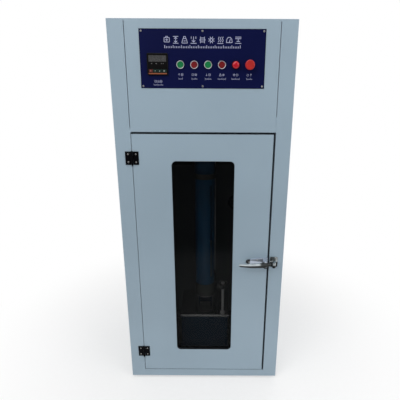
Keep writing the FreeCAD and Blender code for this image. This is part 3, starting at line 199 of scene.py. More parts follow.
class Effects:
    """Surface effects that several finishes share, each built once as a node group."""

    def __init__(self) -> None:
        """Build every group."""
        self.groups: dict[str, bpy.types.NodeTree] = {
            "peel": self.peel(),
            "wear": self.wear(),
            "smudge": self.smudge(),
            "brushing": self.brushing(),
            "dust": self.dust(),
        }

    @staticmethod
    def start(
        name: str, inputs: dict[str, float], outputs: Sequence[str]
    ) -> tuple[Graph, dict[str, Socket], Node]:
        """Open a node group.

        Args:
            name: Name of the effect.
            inputs: Number inputs and their usual values.
            outputs: Names of the number outputs.

        Returns:
            The group's graph, the sockets of its inputs by name and its output node.
        """
        tree = bpy.data.node_groups.new(name, "ShaderNodeTree")
        for label, usual in inputs.items():
            socket = tree.interface.new_socket(label, in_out="INPUT", socket_type="NodeSocketFloat")
            socket.default_value = usual
        for label in outputs:
            tree.interface.new_socket(label, in_out="OUTPUT", socket_type="NodeSocketFloat")
        given = tree.nodes.new("NodeGroupInput").outputs
        return Graph(tree), {label: given[label] for label in inputs}, tree.nodes.new("NodeGroupOutput")

    def peel(self) -> bpy.types.NodeTree:
        """Build the fine ripple of sprayed and baked paint over slightly wavy sheet."""
        inputs = {"Scale": 420.0, "Waviness": 0.5}
        graph, given, out = self.start("paint_ripple", inputs, ("Height", "Tone"))
        spot = graph.place()
        fine = graph.noise(spot, given["Scale"], 1.0)
        waves = graph.noise(spot, 3.2, 1.0)
        graph.feed(out, "Height", graph.calc("MULTIPLY_ADD", waves, given["Waviness"], fine))
        graph.feed(out, "Tone", graph.noise(spot, 1.7, 2.0))
        return graph.tree

    def wear(self) -> bpy.types.NodeTree:
        """Build the rubbed look of edges that hands and tools meet."""
        inputs = {"Reach": 0.5, "Grain": 90.0, "Width": 1.2 * MM}
        graph, given, out = self.start("edge_wear", inputs, ("Mask",))
        rounded = graph.add("Bevel", {"Radius": given["Width"]}, samples=4).outputs[0]
        true = graph.add("NewGeometry").outputs["Normal"]
        level = graph.add("VectorMath", {0: rounded, 1: true}, operation="DOT_PRODUCT").outputs["Value"]
        edge = graph.spread(level, 0.999, 0.93)
        broken = graph.spread(graph.noise(graph.place(), given["Grain"], 3.0), 0.38, 0.62)
        both = graph.calc("MULTIPLY", edge, broken)
        graph.feed(out, "Mask", graph.calc("MULTIPLY", both, given["Reach"]))
        return graph.tree

    def smudge(self) -> bpy.types.NodeTree:
        """Build the patchy sheen that handling and wiping leave."""
        graph, given, out = self.start("smudges", {"Scale": 14.0, "Spread": 0.12}, ("Offset",))
        patches = graph.noise(graph.place(), given["Scale"], 4.0)
        wipes = graph.noise(graph.place((3.0, 3.0, 0.6)), 26.0, 3.0)
        mixed = graph.calc("ADD", graph.calc("MULTIPLY", patches, 0.7), graph.calc("MULTIPLY", wipes, 0.3))
        centred = graph.calc("SUBTRACT", mixed, 0.5)
        graph.feed(out, "Offset", graph.calc("MULTIPLY", centred, given["Spread"]))
        return graph.tree

    def brushing(self) -> bpy.types.NodeTree:
        """Build the fine parallel lines that grinding, turning or drawing leaves on metal."""
        inputs = {"Across X": 1.0, "Across Y": 1.0, "Across Z": 40.0, "Scale": 60.0}
        graph, given, out = self.start("brushed_lines", inputs, ("Height", "Tone"))
        stretch = graph.add("CombineXYZ", dict(enumerate(list(given.values())[:3]))).outputs[0]
        spot = graph.add("TexCoord").outputs["Object"]
        drawn = graph.add("VectorMath", {0: spot, 1: stretch}, operation="MULTIPLY").outputs[0]
        lines = graph.noise(drawn, given["Scale"], 4.0)
        graph.feed(out, "Height", lines)
        graph.feed(out, "Tone", graph.spread(lines, 0.3, 0.7))
        return graph.tree

    def dust(self) -> bpy.types.NodeTree:
        """Build the thin settled dust of surfaces that face up."""
        graph, given, out = self.start("settled_dust", {"Amount": 0.3}, ("Mask",))
        facing = graph.add("SeparateXYZ", {0: graph.add("NewGeometry").outputs["Normal"]}).outputs[2]
        upward = graph.spread(facing, 0.35, 0.95)
        patches = graph.spread(graph.noise(graph.place(), 34.0, 5.0, 0.6), 0.35, 0.75)
        both = graph.calc("MULTIPLY", upward, patches)
        graph.feed(out, "Mask", graph.calc("MULTIPLY", both, given["Amount"]))
        return graph.tree

    def use(self, graph: Graph, effect: str, **feeds: float) -> Node:
        """Place one effect in a finish.

        Args:
            graph: The finish's graph.
            effect: Name of the effect.
            feeds: Values for its inputs, with an underscore for each space.

        Returns:
            The group node.
        """
        node = graph.add("Group", node_tree=self.groups[effect])
        for key, value in feeds.items():
            node.inputs[key.replace("_", " ")].default_value = value
        return node


@dataclass(frozen=True)
class Finish:
    """A surface finish: the record's slot, its colour and how it shines."""

    name: str
    slot: str
    base: Colour
    roughness: float = 0.45
    metallic: float = 0.0
    coat: float = 0.0
    gloss: float = 0.5

    def material(self, effects: Effects) -> bpy.types.Material:
        """Build the finish's material.

        Args:
            effects: The shared node groups.

        Returns:
            The new material.
        """
        made = bpy.data.materials.new(self.name)
        made.use_nodes = True
        made.diffuse_color = (*self.base, 1.0)
        shader = made.node_tree.nodes["Principled BSDF"]
        shader.inputs["Metallic"].default_value = self.metallic
        shader.inputs["Coat Weight"].default_value = self.coat
        shader.inputs["Specular IOR Level"].default_value = self.gloss
        self.wire(Graph(made.node_tree), shader, effects)
        return made

    def wire(self, graph: Graph, shader: Node, effects: Effects) -> None:
        """Join the nodes that feed the shader."""
        raise NotImplementedError

    def shade(self, gain: float, lift: float = 0.0) -> Colour:
        """Give the base colour multiplied by a gain and lifted, up to white."""
        return tuple(min(c * gain + lift, 1.0) for c in self.base)

    def handle(
        self, graph: Graph, shader: Node, effects: Effects, scale: float, spread: float,
        dust: Socket | None = None,
    ) -> Socket:
        """Feed the shader's roughness, made uneven by smudges and duller by dust.

        Args:
            graph: The finish's graph.
            shader: The shader that takes the roughness.
            effects: The shared node groups.
            scale: Smudges per metre.
            spread: How much they change the roughness.
            dust: Socket with the dust's mask, where it shows.

        Returns:
            The socket with the smudges, around 0.
        """
        offset = effects.use(graph, "smudge", Scale=scale, Spread=spread).outputs["Offset"]
        sheen = graph.calc("MAXIMUM", graph.calc("ADD", offset, self.roughness), SMOOTHEST)
        if dust is not None:
            sheen = graph.calc("MULTIPLY_ADD", dust, DUST_DULLING, sheen)
        graph.feed(shader, "Roughness", sheen)
        return offset

    @staticmethod
    def bump(
        graph: Graph, shader: Node, height: Socket, strength: float, depth: float
    ) -> None:
        """Feed the shader's normal from a height pattern, whose real depth is in millimetres."""
        feeds = {"Height": height, "Strength": strength, "Distance": depth * MM}
        graph.feed(shader, "Normal", graph.add("Bump", feeds).outputs[0])


@dataclass(frozen=True)
class AgedFinish(Finish):
    """A finish that is rubbed at its edges and dusty where it faces up."""

    rubbed: float = 0.3
    dust: float = 0.1

    def age(
        self, graph: Graph, shader: Node, effects: Effects, toned: Socket,
        worn: Colour, settled: Colour, grain: float = 90.0,
    ) -> Socket:
        """Feed the shader's colour, with its rubbed edges and its dust.

        Args:
            graph: The finish's graph.
            shader: The shader that takes the colour.
            effects: The shared node groups.
            toned: Socket with the colour of the new surface.
            worn: Colour of the rubbed edges.
            settled: Colour of the dust.
            grain: Flecks per metre in the rubbed edges.

        Returns:
            The socket with the dust's mask.
        """
        wear = effects.use(graph, "wear", Reach=self.rubbed, Grain=grain).outputs["Mask"]
        dust = effects.use(graph, "dust", Amount=self.dust).outputs["Mask"]
        graph.feed(shader, "Base Color", graph.blend(dust, graph.blend(wear, toned, worn), settled))
        return dust


@dataclass(frozen=True)
class PowderCoat(AgedFinish):
    """Baked paint on sheet metal, with a fine ripple, rubbed edges and a little dust."""

    rubbed: float = 0.35
    dust: float = 0.12
    ripple: float = 420.0
    waviness: float = 0.5
    shift: float = 0.05

    def wire(self, graph: Graph, shader: Node, effects: Effects) -> None:
        """Join ripple, tone, wear and dust to the shader."""
        peel = effects.use(graph, "peel", Scale=self.ripple, Waviness=self.waviness)
        tone = graph.spread(peel.outputs["Tone"], 0.3, 0.7)
        toned = graph.blend(tone, self.shade(1 - self.shift), self.shade(1 + self.shift))
        dust = self.age(graph, shader, effects, toned, self.shade(1.35, 0.04), (0.62, 0.6, 0.56))
        self.handle(graph, shader, effects, 9.0, 0.16, dust)
        self.bump(graph, shader, peel.outputs["Height"], 0.12, 0.35)


@dataclass(frozen=True)
class Moulding(AgedFinish):
    """Moulded plastic or rubber with a fine eroded grain and handling sheen."""

    grain: float = 1600.0
    depth: float = 0.06

    def wire(self, graph: Graph, shader: Node, effects: Effects) -> None:
        """Join grain, wear and dust to the shader."""
        spot = graph.place()
        tone = graph.spread(graph.noise(spot, 40.0, 3.0), 0.3, 0.7)
        toned = graph.blend(tone, self.shade(0.86), self.shade(1.1))
        self.age(graph, shader, effects, toned, self.shade(1.5, 0.05), (0.5, 0.48, 0.45), 160.0)
        self.handle(graph, shader, effects, 30.0, 0.15)
        self.bump(graph, shader, graph.noise(spot, self.grain, 3.0, 0.6), 0.25, self.depth)


@dataclass(frozen=True)
class Metal(Finish):
    """Bare or plated metal with fine lines from grinding, turning or drawing."""

    lines: Colour = (1.0, 1.0, 30.0)
    scale: float = 60.0
    depth: float = 0.05
    tint: float = 0.12
    stain: float = 0.2

    def wire(self, graph: Graph, shader: Node, effects: Effects) -> None:
        """Join lines, smudges and handling stains to the shader."""
        across = dict(zip(("Across_X", "Across_Y", "Across_Z"), self.lines))
        brushed = effects.use(graph, "brushing", Scale=self.scale, **across)
        lined = graph.blend(brushed.outputs["Tone"], self.shade(1 - self.tint), self.base)
        smudge = self.handle(graph, shader, effects, 24.0, self.stain)
        stained = graph.spread(smudge, 0.0, 0.25, 0.0, self.stain)
        graph.feed(shader, "Base Color", graph.blend(stained, lined, self.shade(0.62)))
        self.bump(graph, shader, brushed.outputs["Height"], 0.2, self.depth)


@dataclass(frozen=True)
class Chrome(Finish):
    """Bright plating on a casting, with painted dark reflections: dark bands painted on below a height and
    at its sides.

    The painted bands start at places in metres: low is a height, side and hub are places across the
    cabinet.
    """

    low: float = 0.0
    side: float = 0.0
    hub: float = 1.0

    def wire(self, graph: Graph, shader: Node, effects: Effects) -> None:
        """Join the painted dark reflection bands, faint casting waves and smudges to the shader."""
        spot = graph.add("SeparateXYZ", {0: graph.place()}).outputs
        # Painted dark reflection and shade: dark below the height low, left of side and right of hub.
        below = graph.spread(spot[2], self.low + 1.2 * MM, self.low - 1.2 * MM)
        beside = graph.spread(spot[0], self.side + 2 * MM, self.side - 2 * MM)
        beyond = graph.spread(spot[0], self.hub - 6 * MM, self.hub + 6 * MM)
        edges = graph.calc("MAXIMUM", below, beside)
        painted_dark_reflection = graph.calc("MAXIMUM", edges, graph.calc("MULTIPLY", beyond, 0.95))
        waves = graph.noise(graph.place(), 55.0, 2.0)
        plain = graph.blend(graph.spread(waves, 0.35, 0.65), self.shade(0.8), self.base)
        graph.feed(shader, "Base Color", graph.blend(painted_dark_reflection, plain, self.shade(0.03)))
        self.handle(graph, shader, effects, 40.0, 0.08)
        self.bump(graph, shader, waves, 0.15, 0.2)


@dataclass(frozen=True)
class ClearMoulding(Finish):
    """Tinted clear plastic over a lit or dark core, with moulded facets inside."""

    glow: float = 0.0
    facets: float = 900.0

    def wire(self, graph: Graph, shader: Node, effects: Effects) -> None:
        """Join the inner facets, the darker rim and smudges to the shader."""
        cells = graph.add("TexVoronoi", {"Vector": graph.place(), "Scale": self.facets}).outputs["Distance"]
        deep = self.shade(0.55)
        faceted = graph.blend(graph.spread(cells, 0.1, 0.6), self.base, deep)
        rim = graph.add("LayerWeight", {"Blend": 0.35}).outputs["Facing"]
        graph.feed(shader, "Base Color", graph.blend(rim, faceted, deep))
        graph.feed(shader, "Emission Color", faceted)
        shader.inputs["Emission Strength"].default_value = self.glow
        self.handle(graph, shader, effects, 60.0, 0.12)
        self.bump(graph, shader, cells, 0.08, 0.1)


@dataclass(frozen=True)
class Glazing(Finish):
    """Smoked safety glass: partly see-through, with a thin film of dust and wipe marks."""

    film: float = 0.002
    cover: float = 0.4

    def wire(self, graph: Graph, shader: Node, effects: Effects) -> None:
        """Join the film of dust, its sheen and how much of the back it hides."""
        smudge = effects.use(graph, "smudge", Scale=5.0, Spread=0.5)
        wiped = graph.spread(smudge.outputs["Offset"], -0.1, 0.2)
        graph.feed(shader, "Base Color", graph.blend(wiped, self.base, self.shade(1.0, self.film)))
        for name, least in (("Roughness", self.roughness), ("Alpha", self.cover)):
            graph.feed(shader, name, graph.spread(wiped, 0.0, 1.0, least, least + 0.05))


def print_coat(name: str, slot: str, base: Colour) -> PowderCoat:
    """Give the plain finish of a printed ink."""
    return PowderCoat(name, slot, base, 0.5, ripple=1500.0, dust=0.0, rubbed=0.0)


def cap_moulding(name: str, slot: str, base: Colour, gloss: float) -> Moulding:
    """Give the shiny finish of a push button's cap."""
    return Moulding(name, slot, base, 0.38, gloss=gloss, coat=0.1, grain=2400.0)


def key_moulding(name: str, slot: str, base: Colour) -> Moulding:
    """Give the dull finish of a counter's key."""
    return Moulding(name, slot, base, 0.5, gloss=0.2, grain=2400.0, dust=0.0)


LEVEL_LINES = (1.0, 1.0, 6.0)
FINISHES: tuple[Finish, ...] = (
    PowderCoat("cabinet_enamel", "cabinet_paint", (0.262, 0.345, 0.412), 0.42),
    PowderCoat("chamber_enamel", "chamber_paint", (0.072, 0.076, 0.072), 0.6, dust=0.1, ripple=300.0),
    PowderCoat(
        "navy_enamel", "navy_plate", (0.0025, 0.0045, 0.04), 0.36,
        gloss=0.08, ripple=700.0, shift=0.15, dust=0.0, rubbed=0.0,
    ),
    PowderCoat(
        "black_lacquer", "black_metal", (0.002, 0.002, 0.003), 0.42,
        gloss=0.04, shift=0.1, ripple=600.0, rubbed=0.1, dust=0.03,
    ),
    PowderCoat("tube_lacquer", "tube_blue", (0.012, 0.135, 0.3), 0.33, shift=0.12, ripple=500.0),
    PowderCoat(
        "cast_enamel", "anvil_paint", (0.005, 0.042, 0.095), 0.6, ripple=190.0, waviness=0.2, dust=0.1
    ),
    Moulding("switch_moulding", "black_plastic", (0.004, 0.004, 0.004), 0.45, gloss=0.06, dust=0.04),
    Moulding("knob_moulding", "knob_plastic", (0.02, 0.02, 0.022), 0.42, depth=0.1),
    Moulding(
        "stop_red_moulding", "red_plastic", (0.37, 0.013, 0.011), 0.4,
        gloss=0.3, coat=0.1, grain=2400.0, dust=0.0,
    ),
    cap_moulding("button_red_moulding", "dark_red_plastic", (0.15, 0.005, 0.007), 0.3),
    cap_moulding("button_green_moulding", "green_plastic", (0.003, 0.155, 0.042), 0.25),
    key_moulding("key_red_moulding", "dark_red_plastic", (0.07, 0.016, 0.012)),
    key_moulding("key_green_moulding", "green_plastic", (0.004, 0.022, 0.016)),
    Moulding(
        "seal_rubber", "rubber", (0.004, 0.004, 0.0045), 0.72,
        gloss=0.08, grain=1100.0, dust=0.04, rubbed=0.1,
    ),
    ClearMoulding("lamp_lens_red", "red_lens", (0.45, 0.006, 0.018), 0.18, coat=0.2, glow=0.4),
    ClearMoulding("display_window", "display", (0.085, 0.085, 0.085), 0.25, gloss=0.25, facets=300.0),
    # The chrome finishes' low, side and hub set where their painted dark reflection bands start.
    Chrome("base_chrome", "chrome", (0.48, 0.54, 0.64), 0.1, 0.6, low=0.579, side=0.189),
    Chrome("lever_chrome", "chrome", (0.54, 0.6, 0.63), 0.1, 0.6, low=0.5902, hub=0.228),
    Chrome("keeper_chrome", "chrome", (0.4, 0.44, 0.45), 0.12, 0.9, low=0.59),
    Metal(
        "satin_ring", "chrome", (0.58, 0.59, 0.64), 0.4, 1.0,
        lines=(1.0, 40.0, 1.0), depth=0.01, tint=0.04, stain=0.05,
    ),
    Metal(
        "plated_rod", "screw_steel", (0.8, 0.8, 0.79), 0.3, 0.45, lines=LEVEL_LINES, tint=0.08, stain=0.08
    ),
    Metal("knob_grey", "knob_plastic", (0.13, 0.135, 0.13), 0.26, 0.4, lines=(30.0, 30.0, 1.0), tint=0.15),
    Metal("screw_zinc", "screw_steel", (0.36, 0.36, 0.35), 0.34, 1.0, lines=LEVEL_LINES, tint=0.15),
    Metal(
        "ground_plate", "ground_steel", (0.62, 0.63, 0.63), 0.24, 1.0,
        lines=(50.0, 1.0, 1.0), tint=0.14, stain=0.08,
    ),
    Metal("turned_steel", "weight_steel", (0.5, 0.5, 0.49), 0.3, 1.0, lines=(1.0, 1.0, 60.0), tint=0.2),
    Metal("collar_steel", "collar_grey", (0.1, 0.112, 0.1), 0.5, lines=(1.0, 1.0, 50.0), tint=0.25),
    Metal("drawn_aluminium", "aluminium", (0.6, 0.61, 0.62), 0.34, 1.0, lines=(40.0, 40.0, 1.0)),
    # Dark metal of the screws' crosses: painted shade of their recesses.
    Metal("screw_recess_shade", "screw_steel", (0.06, 0.06, 0.06), 0.5, 1.0, lines=LEVEL_LINES, tint=0.2),
    Glazing("smoked_pane", "smoked_glass", (0.002, 0.0025, 0.003), 0.06, gloss=0.1),
    print_coat("print_ink", "navy_plate", (0.37, 0.39, 0.55)),
    print_coat("print_orange", "black_plastic", (0.25, 0.06, 0.018)),
    print_coat("print_grey", "black_plastic", (0.1, 0.1, 0.1)),
    print_coat("print_pale", "green_plastic", (0.3, 0.34, 0.32)),
    print_coat("print_coral", "dark_red_plastic", (0.4, 0.12, 0.1)),
    print_coat("print_dark", "display", (0.03, 0.03, 0.03)),
)


class Workshop:
    """Holds the finishes' materials and gives the frame's nodes their finish."""

    def __init__(self) -> None:
        """Build the effects and every finish."""
        effects = Effects()
        self.finishes = {finish.name: finish for finish in FINISHES}
        self.materials = {finish.name: finish.material(effects) for finish in FINISHES}

    def dress(self, nodes: str, finish: str, edge: float = 0.0, rounds: int = 2) -> None:
        """Give nodes of the frame their finish and soften their sharp edges.

        Args:
            nodes: Names of the nodes, with a space between two.
            finish: Name of the finish.
            edge: Width of the softened edges in millimetres, or 0 for none.
            rounds: Number of steps across a softened edge.
        """
        for node in nodes.split():
            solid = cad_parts[node]
            for slot in solid.material_slots:
                slot.material = self.materials[finish]
            if edge:
                solid.modifiers.new("Weld", "WELD").merge_threshold = WELD_REACH * MM
                self.soften(solid, edge, rounds)
            LOG.info("dressed %s in %s", node, finish)

    @staticmethod
    def soften(piece: bpy.types.Object, edge: float, rounds: int = 2) -> None:
        """Round the sharp edges of an object and even its shading.

        Args:
            piece: The object.
            edge: Width of the rounding in millimetres.
            rounds: Number of steps across it.
        """
        bevel = piece.modifiers.new("Edges", "BEVEL")
        bevel.width = edge * MM
        bevel.segments = rounds
        bevel.limit_method = "ANGLE"
        bevel.angle_limit = math.radians(SOFT_ANGLE)
        piece.modifiers.new("Shading", "WEIGHTED_NORMAL").keep_sharp = True


class Piece:
    """A mesh drawn in millimetres that becomes one object riding on a body."""

    def __init__(self, place: Matrix | None = None) -> None:
        """Start an empty mesh, with the pen at a place."""
        self.place = placed(Facing.FRONT) if place is None else place
        self.points: list[Vector] = []
        self.faces: list[tuple[int, ...]] = []

    def at(self, place: Matrix) -> "Piece":
        """Move the pen: what is drawn next is set at this place."""
        self.place = place
        return self

    def add(self, points: Sequence[Sequence[float]], faces: Sequence[Sequence[int]]) -> None:
        """Add points, in the pen's own frame, and the faces between them."""
        start = len(self.points)
        self.points += [self.place @ Vector(point) for point in points]
        self.faces += [tuple(index + start for index in face) for face in faces]

    def prism(
        self, outline: Sequence[Pair], low: float, high: float, holes: Sequence[Sequence[Pair]] = ()
    ) -> None:
        """Add a flat shape with straight sides.

        Args:
            outline: Its outer edge.
            low: Height of its underside.
            high: Height of its face.
            holes: Edges of the holes through it.
        """
        loops = [list(outline), *(list(hole) for hole in holes)]
        flat = [point for loop in loops for point in loop]
        count = len(flat)
        caps = [tuple(range(count))]
        if holes:
            caps = tessellate_polygon([[Vector((x, y, 0.0)) for x, y in loop] for loop in loops])
        faces = [tuple(cap) for cap in caps] + [tuple(i + count for i in reversed(cap)) for cap in caps]
        start = 0
        for loop in loops:
            size = len(loop)
            for i in range(size):
                a, b = start + i, start + (i + 1) % size
                faces.append((a, b, b + count, a + count))
            start += size
        self.add([(x, y, z) for z in (low, high) for x, y in flat], faces)

    def revolve(self, profile: Sequence[Pair], steps: int, closed: bool = False) -> None:
        """Add a round shape about the pen's Z axis.

        Args:
            profile: Points of its outline as radius and height; a radius of 0 ends it in a point.
            steps: Number of sides.
            closed: True where the last point joins the first, as in a ring.
        """
        rings: list[list[int]] = []
        points: list[tuple[float, float, float]] = []
        for radius, height in profile:
            if radius == 0:
                rings.append([len(points)] * steps)
                points.append((0.0, 0.0, height))
            else:
                rings.append([len(points) + i for i in range(steps)])
                points += [(x, y, height) for x, y in circle(radius, steps)]
        faces = []
        pairs = list(zip(rings, rings[1:])) + ([(rings[-1], rings[0])] if closed else [])
        for lower, upper in pairs:
            for i in range(steps):
                j = (i + 1) % steps
                faces.append(tuple(dict.fromkeys((lower[i], lower[j], upper[j], upper[i]))))
        self.add(points, faces)

    def sweep(
        self, path: Sequence[Sequence[float]], radius: float, steps: int = 6, closed: bool = False
    ) -> None:
        """Add a round wire along a path.

        Args:
            path: Points of its centre line.
            radius: Its radius.
            steps: Number of sides.
            closed: True where the path joins its own start.
        """
        spots = [Vector(point) for point in path]
        count = len(spots)
        side = Vector((0.0, 0.0, 1.0))
        points, faces = [], []
        for i, spot in enumerate(spots):
            ahead = spots[(i + 1) % count] if closed or i < count - 1 else spot
            behind = spots[i - 1] if closed or i else spot
            along = (ahead - behind).normalized()
            if abs(along.dot(side)) > 0.95:
                side = Vector((1.0, 0.0, 0.0)) if abs(along.x) < 0.9 else Vector((0.0, 1.0, 0.0))
            side = (side - along * side.dot(along)).normalized()
            other = along.cross(side)
            points += [spot + side * x + other * y for x, y in circle(radius, steps)]
        for i in range(count if closed else count - 1):
            a, b = i * steps, (i + 1) % count * steps
            for k in range(steps):
                n = (k + 1) % steps
                faces.append((a + k, a + n, b + n, b + k))
        if not closed:
            last = (count - 1) * steps
            faces += [tuple(range(steps)), tuple(last + k for k in range(steps))]
        self.add(points, faces)

    def make(
        self, name: str, body: str, finish: str, shop: Workshop, edge: float = 0.0,
        replaces: Sequence[str] = (),
    ) -> None:
        """Turn the mesh into an object that rides on a body.

        Args:
            name: Name of the piece.
            body: Body that it rides on.
            finish: Name of its finish.
            shop: The workshop with the materials.
            edge: Width of its softened edges in millimetres, or 0 for none.
            replaces: Nodes of the frame that it stands for.
        """
        mesh = bpy.data.meshes.new(name)
        mesh.from_pydata([tuple(point * MM) for point in self.points], [], self.faces)
        work = bmesh.new()
        work.from_mesh(mesh)
        bmesh.ops.recalc_face_normals(work, faces=work.faces)
        work.to_mesh(mesh)
        work.free()
        mesh.materials.append(shop.materials[finish])
        mesh.polygons.foreach_set("use_smooth", [True] * len(mesh.polygons))
        mesh.set_sharp_from_angle(angle=math.radians(SHARP_ANGLE))
        piece = bpy.data.objects.new(name, mesh)
        bpy.context.scene.collection.objects.link(piece)
        if edge:
            shop.soften(piece, edge)
        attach(piece, body)
        if replaces:
            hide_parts(*replaces)
        LOG.info("made %s on %s", name, body)


@dataclass
class Shell:
    """The cabinet's painted sheet metal, its feet, its black hinges, its seals and its pane."""

    sheet_edge: float = 0.9
    plate_edge: float = 0.5
    thin_edge: float = 0.3
    seal_edge: float = 0.4

    def dress(self, shop: Workshop) -> None:
        """Give the frame's own nodes their finishes."""
        painted = (
            "front_frame left_side_panel right_side_panel rear_panel rear_service_cover top_cover base_pan "
            "fascia_panel door_pan door_inner_panel"
        )
        shop.dress(painted, "cabinet_enamel", self.sheet_edge)
        shop.dress("chamber_liner", "chamber_enamel", self.plate_edge)
        shop.dress("control_plate", "navy_enamel", self.thin_edge)
        shop.dress("levelling_feet", "knob_moulding", self.plate_edge)
        shop.dress("hinge_frame_leaves hinge_door_leaves", "black_lacquer", self.plate_edge)
        shop.dress("door_seals", "seal_rubber", self.seal_edge)
        shop.dress("window_glass", "smoked_pane")


@dataclass
class Machinery:
    """The drop gear in the chamber and the drive, fan and electrics around it."""

    edge: float = 0.5
    plate_half: float = 113.0
    plate_front: float = 178.0
    plate_middle: float = 247.4
    plate_thick: float = 3.4

    def dress(self, shop: Workshop) -> None:
        """Give the frame's own nodes their finishes and lay a bright strip on the anvil plate's front edge,
        a painted highlight.
        """
        finishes = {
            "cast_enamel": "anvil_base bar_holder",
            "ground_plate": "anvil_plate",
            "turned_steel": "impact_bar drop_weight electromagnet",
            "plated_rod": "clamp_post",
            "knob_grey": "clamp_knob",
            "tube_lacquer": "guide_tube",
            "collar_steel": "tube_clamps",
            "drawn_aluminium": "lift_column lift_carriage drive_pulley idler_pulley",
            "seal_rubber": "lift_belt",
            "black_lacquer": "lift_motor",
            "switch_moulding": "fan_frame fan_rotor cable_port power_inlet",
            "screw_zinc": "exhaust_spigot control_gear",
        }
        for finish, nodes in finishes.items():
            shop.dress(nodes, finish, self.edge)
        # A bright plated strip along the anvil plate's front edge: a painted highlight where light catches
        # that edge.
        front = rectangle(2 * self.plate_half - 2.0, self.plate_thick, (0.0, self.plate_middle))
        edge = Piece()
        edge.prism(front, self.plate_front - 1.0, self.plate_front + 0.15)
        edge.make("anvil_plate_highlight", "cabinet", "plated_rod", shop)


@dataclass
class PushButtons:
    """The four push buttons, the lamp and the mushroom stop switch on the control plate."""

    level: float = 1346.0
    ring: float = 13.4
    skirt: float = 15.0
    cap: float = 11.1
    rib: float = 12.0
    steps: int = 64

    def spot(self, index: int) -> Matrix:
        """Give the place of one switch on the plate."""
        return placed(Facing.FRONT, FIRST_SWITCH + SWITCH_PITCH * index, PLATE_FACE, self.level)

    def bezels(self, shop: Workshop) -> None:
        """Turn the bright rings and the black skirts that they stand in."""
        rings, skirts = Piece(), Piece()
        ring = [
            (11.4, 0.2), (self.ring, 0.2), (self.ring, 4.2), (13.1, 4.75), (12.6, 5.0), (12.1, 4.9),
            (11.6, 4.4), (11.4, 3.8),
        ]
        inside = self.ring + 0.05
        skirt = [(inside, 0.1), (self.skirt, 0.1), (self.skirt, 1.6), (14.6, 2.6), (inside, 3.4)]
        for index in range(4):
            rings.at(self.spot(index)).revolve(ring, self.steps, closed=True)
            skirts.at(self.spot(index)).revolve(skirt, self.steps, closed=True)
        rings.make("bezel_rings", "cabinet", "satin_ring", shop, replaces=("button_bezels",))
        skirts.make("bezel_skirts", "cabinet", "switch_moulding", shop)

    def caps(self, shop: Workshop) -> None:
        """Turn the dished button caps."""
        cap = [
            (0, 3.25), (4, 3.3), (7.5, 3.5), (9.6, 3.75), (10.6, 3.8), (11.0, 3.75), (self.cap, 3.67),
            (11.0, 3.58), (10.0, 3.56), (10.0, -14.0), (0, -14.0),
        ]
        for index in range(4):
            colour = ("green", "red")[index % 2]
            name = f"{colour}_button_{index // 2 + 1}"
            piece = Piece(self.spot(index))
            piece.revolve(cap, self.steps)
            piece.make(name + "_cap", name, f"button_{colour}_moulding", shop, replaces=(name,))

    def lamp(self, shop: Workshop) -> None:
        """Turn the lamp's ribbed lens."""
        dome = [
            (0, 3.0), (12.1, 3.0), (12.1, 8.4), (11.9, 9.8), (11.3, 11.4), (10.2, 12.9), (8.4, 14.1),
            (5.6, 14.8), (2.6, 15.0), (0, 15.0),
        ]
        piece = Piece(self.spot(4))
        piece.revolve(dome, self.steps)
        for turn in range(24):
            foot = polar(self.rib, math.radians(turn * 15))
            piece.sweep([(*foot, z) for z in (3.6, 5.6, 8.2)], 0.45)
        piece.make("lamp_dome", "cabinet", "lamp_lens_red", shop, replaces=("lamp_lens",))

    def stop(self, shop: Workshop) -> None:
        """Turn the mushroom head, with three moulded arrows that show which way it twists."""
        head = [
            (0, 24.75), (8, 24.8), (12.4, 25.0), (14.2, 24.85), (15.5, 24.1), (16.3, 22.7), (16.5, 20.8),
            (16.2, 18.6), (15.0, 16.6), (12.6, 15.0), (9.0, 14.1), (6.4, 13.8), (5.2, 13.4), (5.2, 19.3),
            (0, 19.3),
        ]
        piece = Piece(self.spot(5))
        piece.revolve(head, 72)
        for turn in (0, 120, 240):
            arc = [math.radians(turn + step * 9) for step in range(8)]
            shaft = [polar(11.6, a) for a in arc] + [polar(10.0, a) for a in reversed(arc)]
            corners = ((12.6, 63), (10.8, 80), (9.0, 63))
            tip = [polar(radius, math.radians(turn + at)) for radius, at in corners]
            for outline in (shaft, tip):
                piece.prism(outline, 24.6, 25.05)
        piece.make("stop_mushroom", "stop_head", "stop_red_moulding", shop, replaces=("stop_head",))

    def build(self, shop: Workshop) -> None:
        """Make every piece and dress what stays of the frame's own."""
        self.bezels(shop)
        self.caps(shop)
        self.lamp(shop)
        self.stop(shop)
        shop.dress("stop_stem", "stop_red_moulding", 0.4)
        shop.dress("switch_bodies", "switch_moulding")
        shop.dress("switch_collars", "switch_moulding", 0.5)


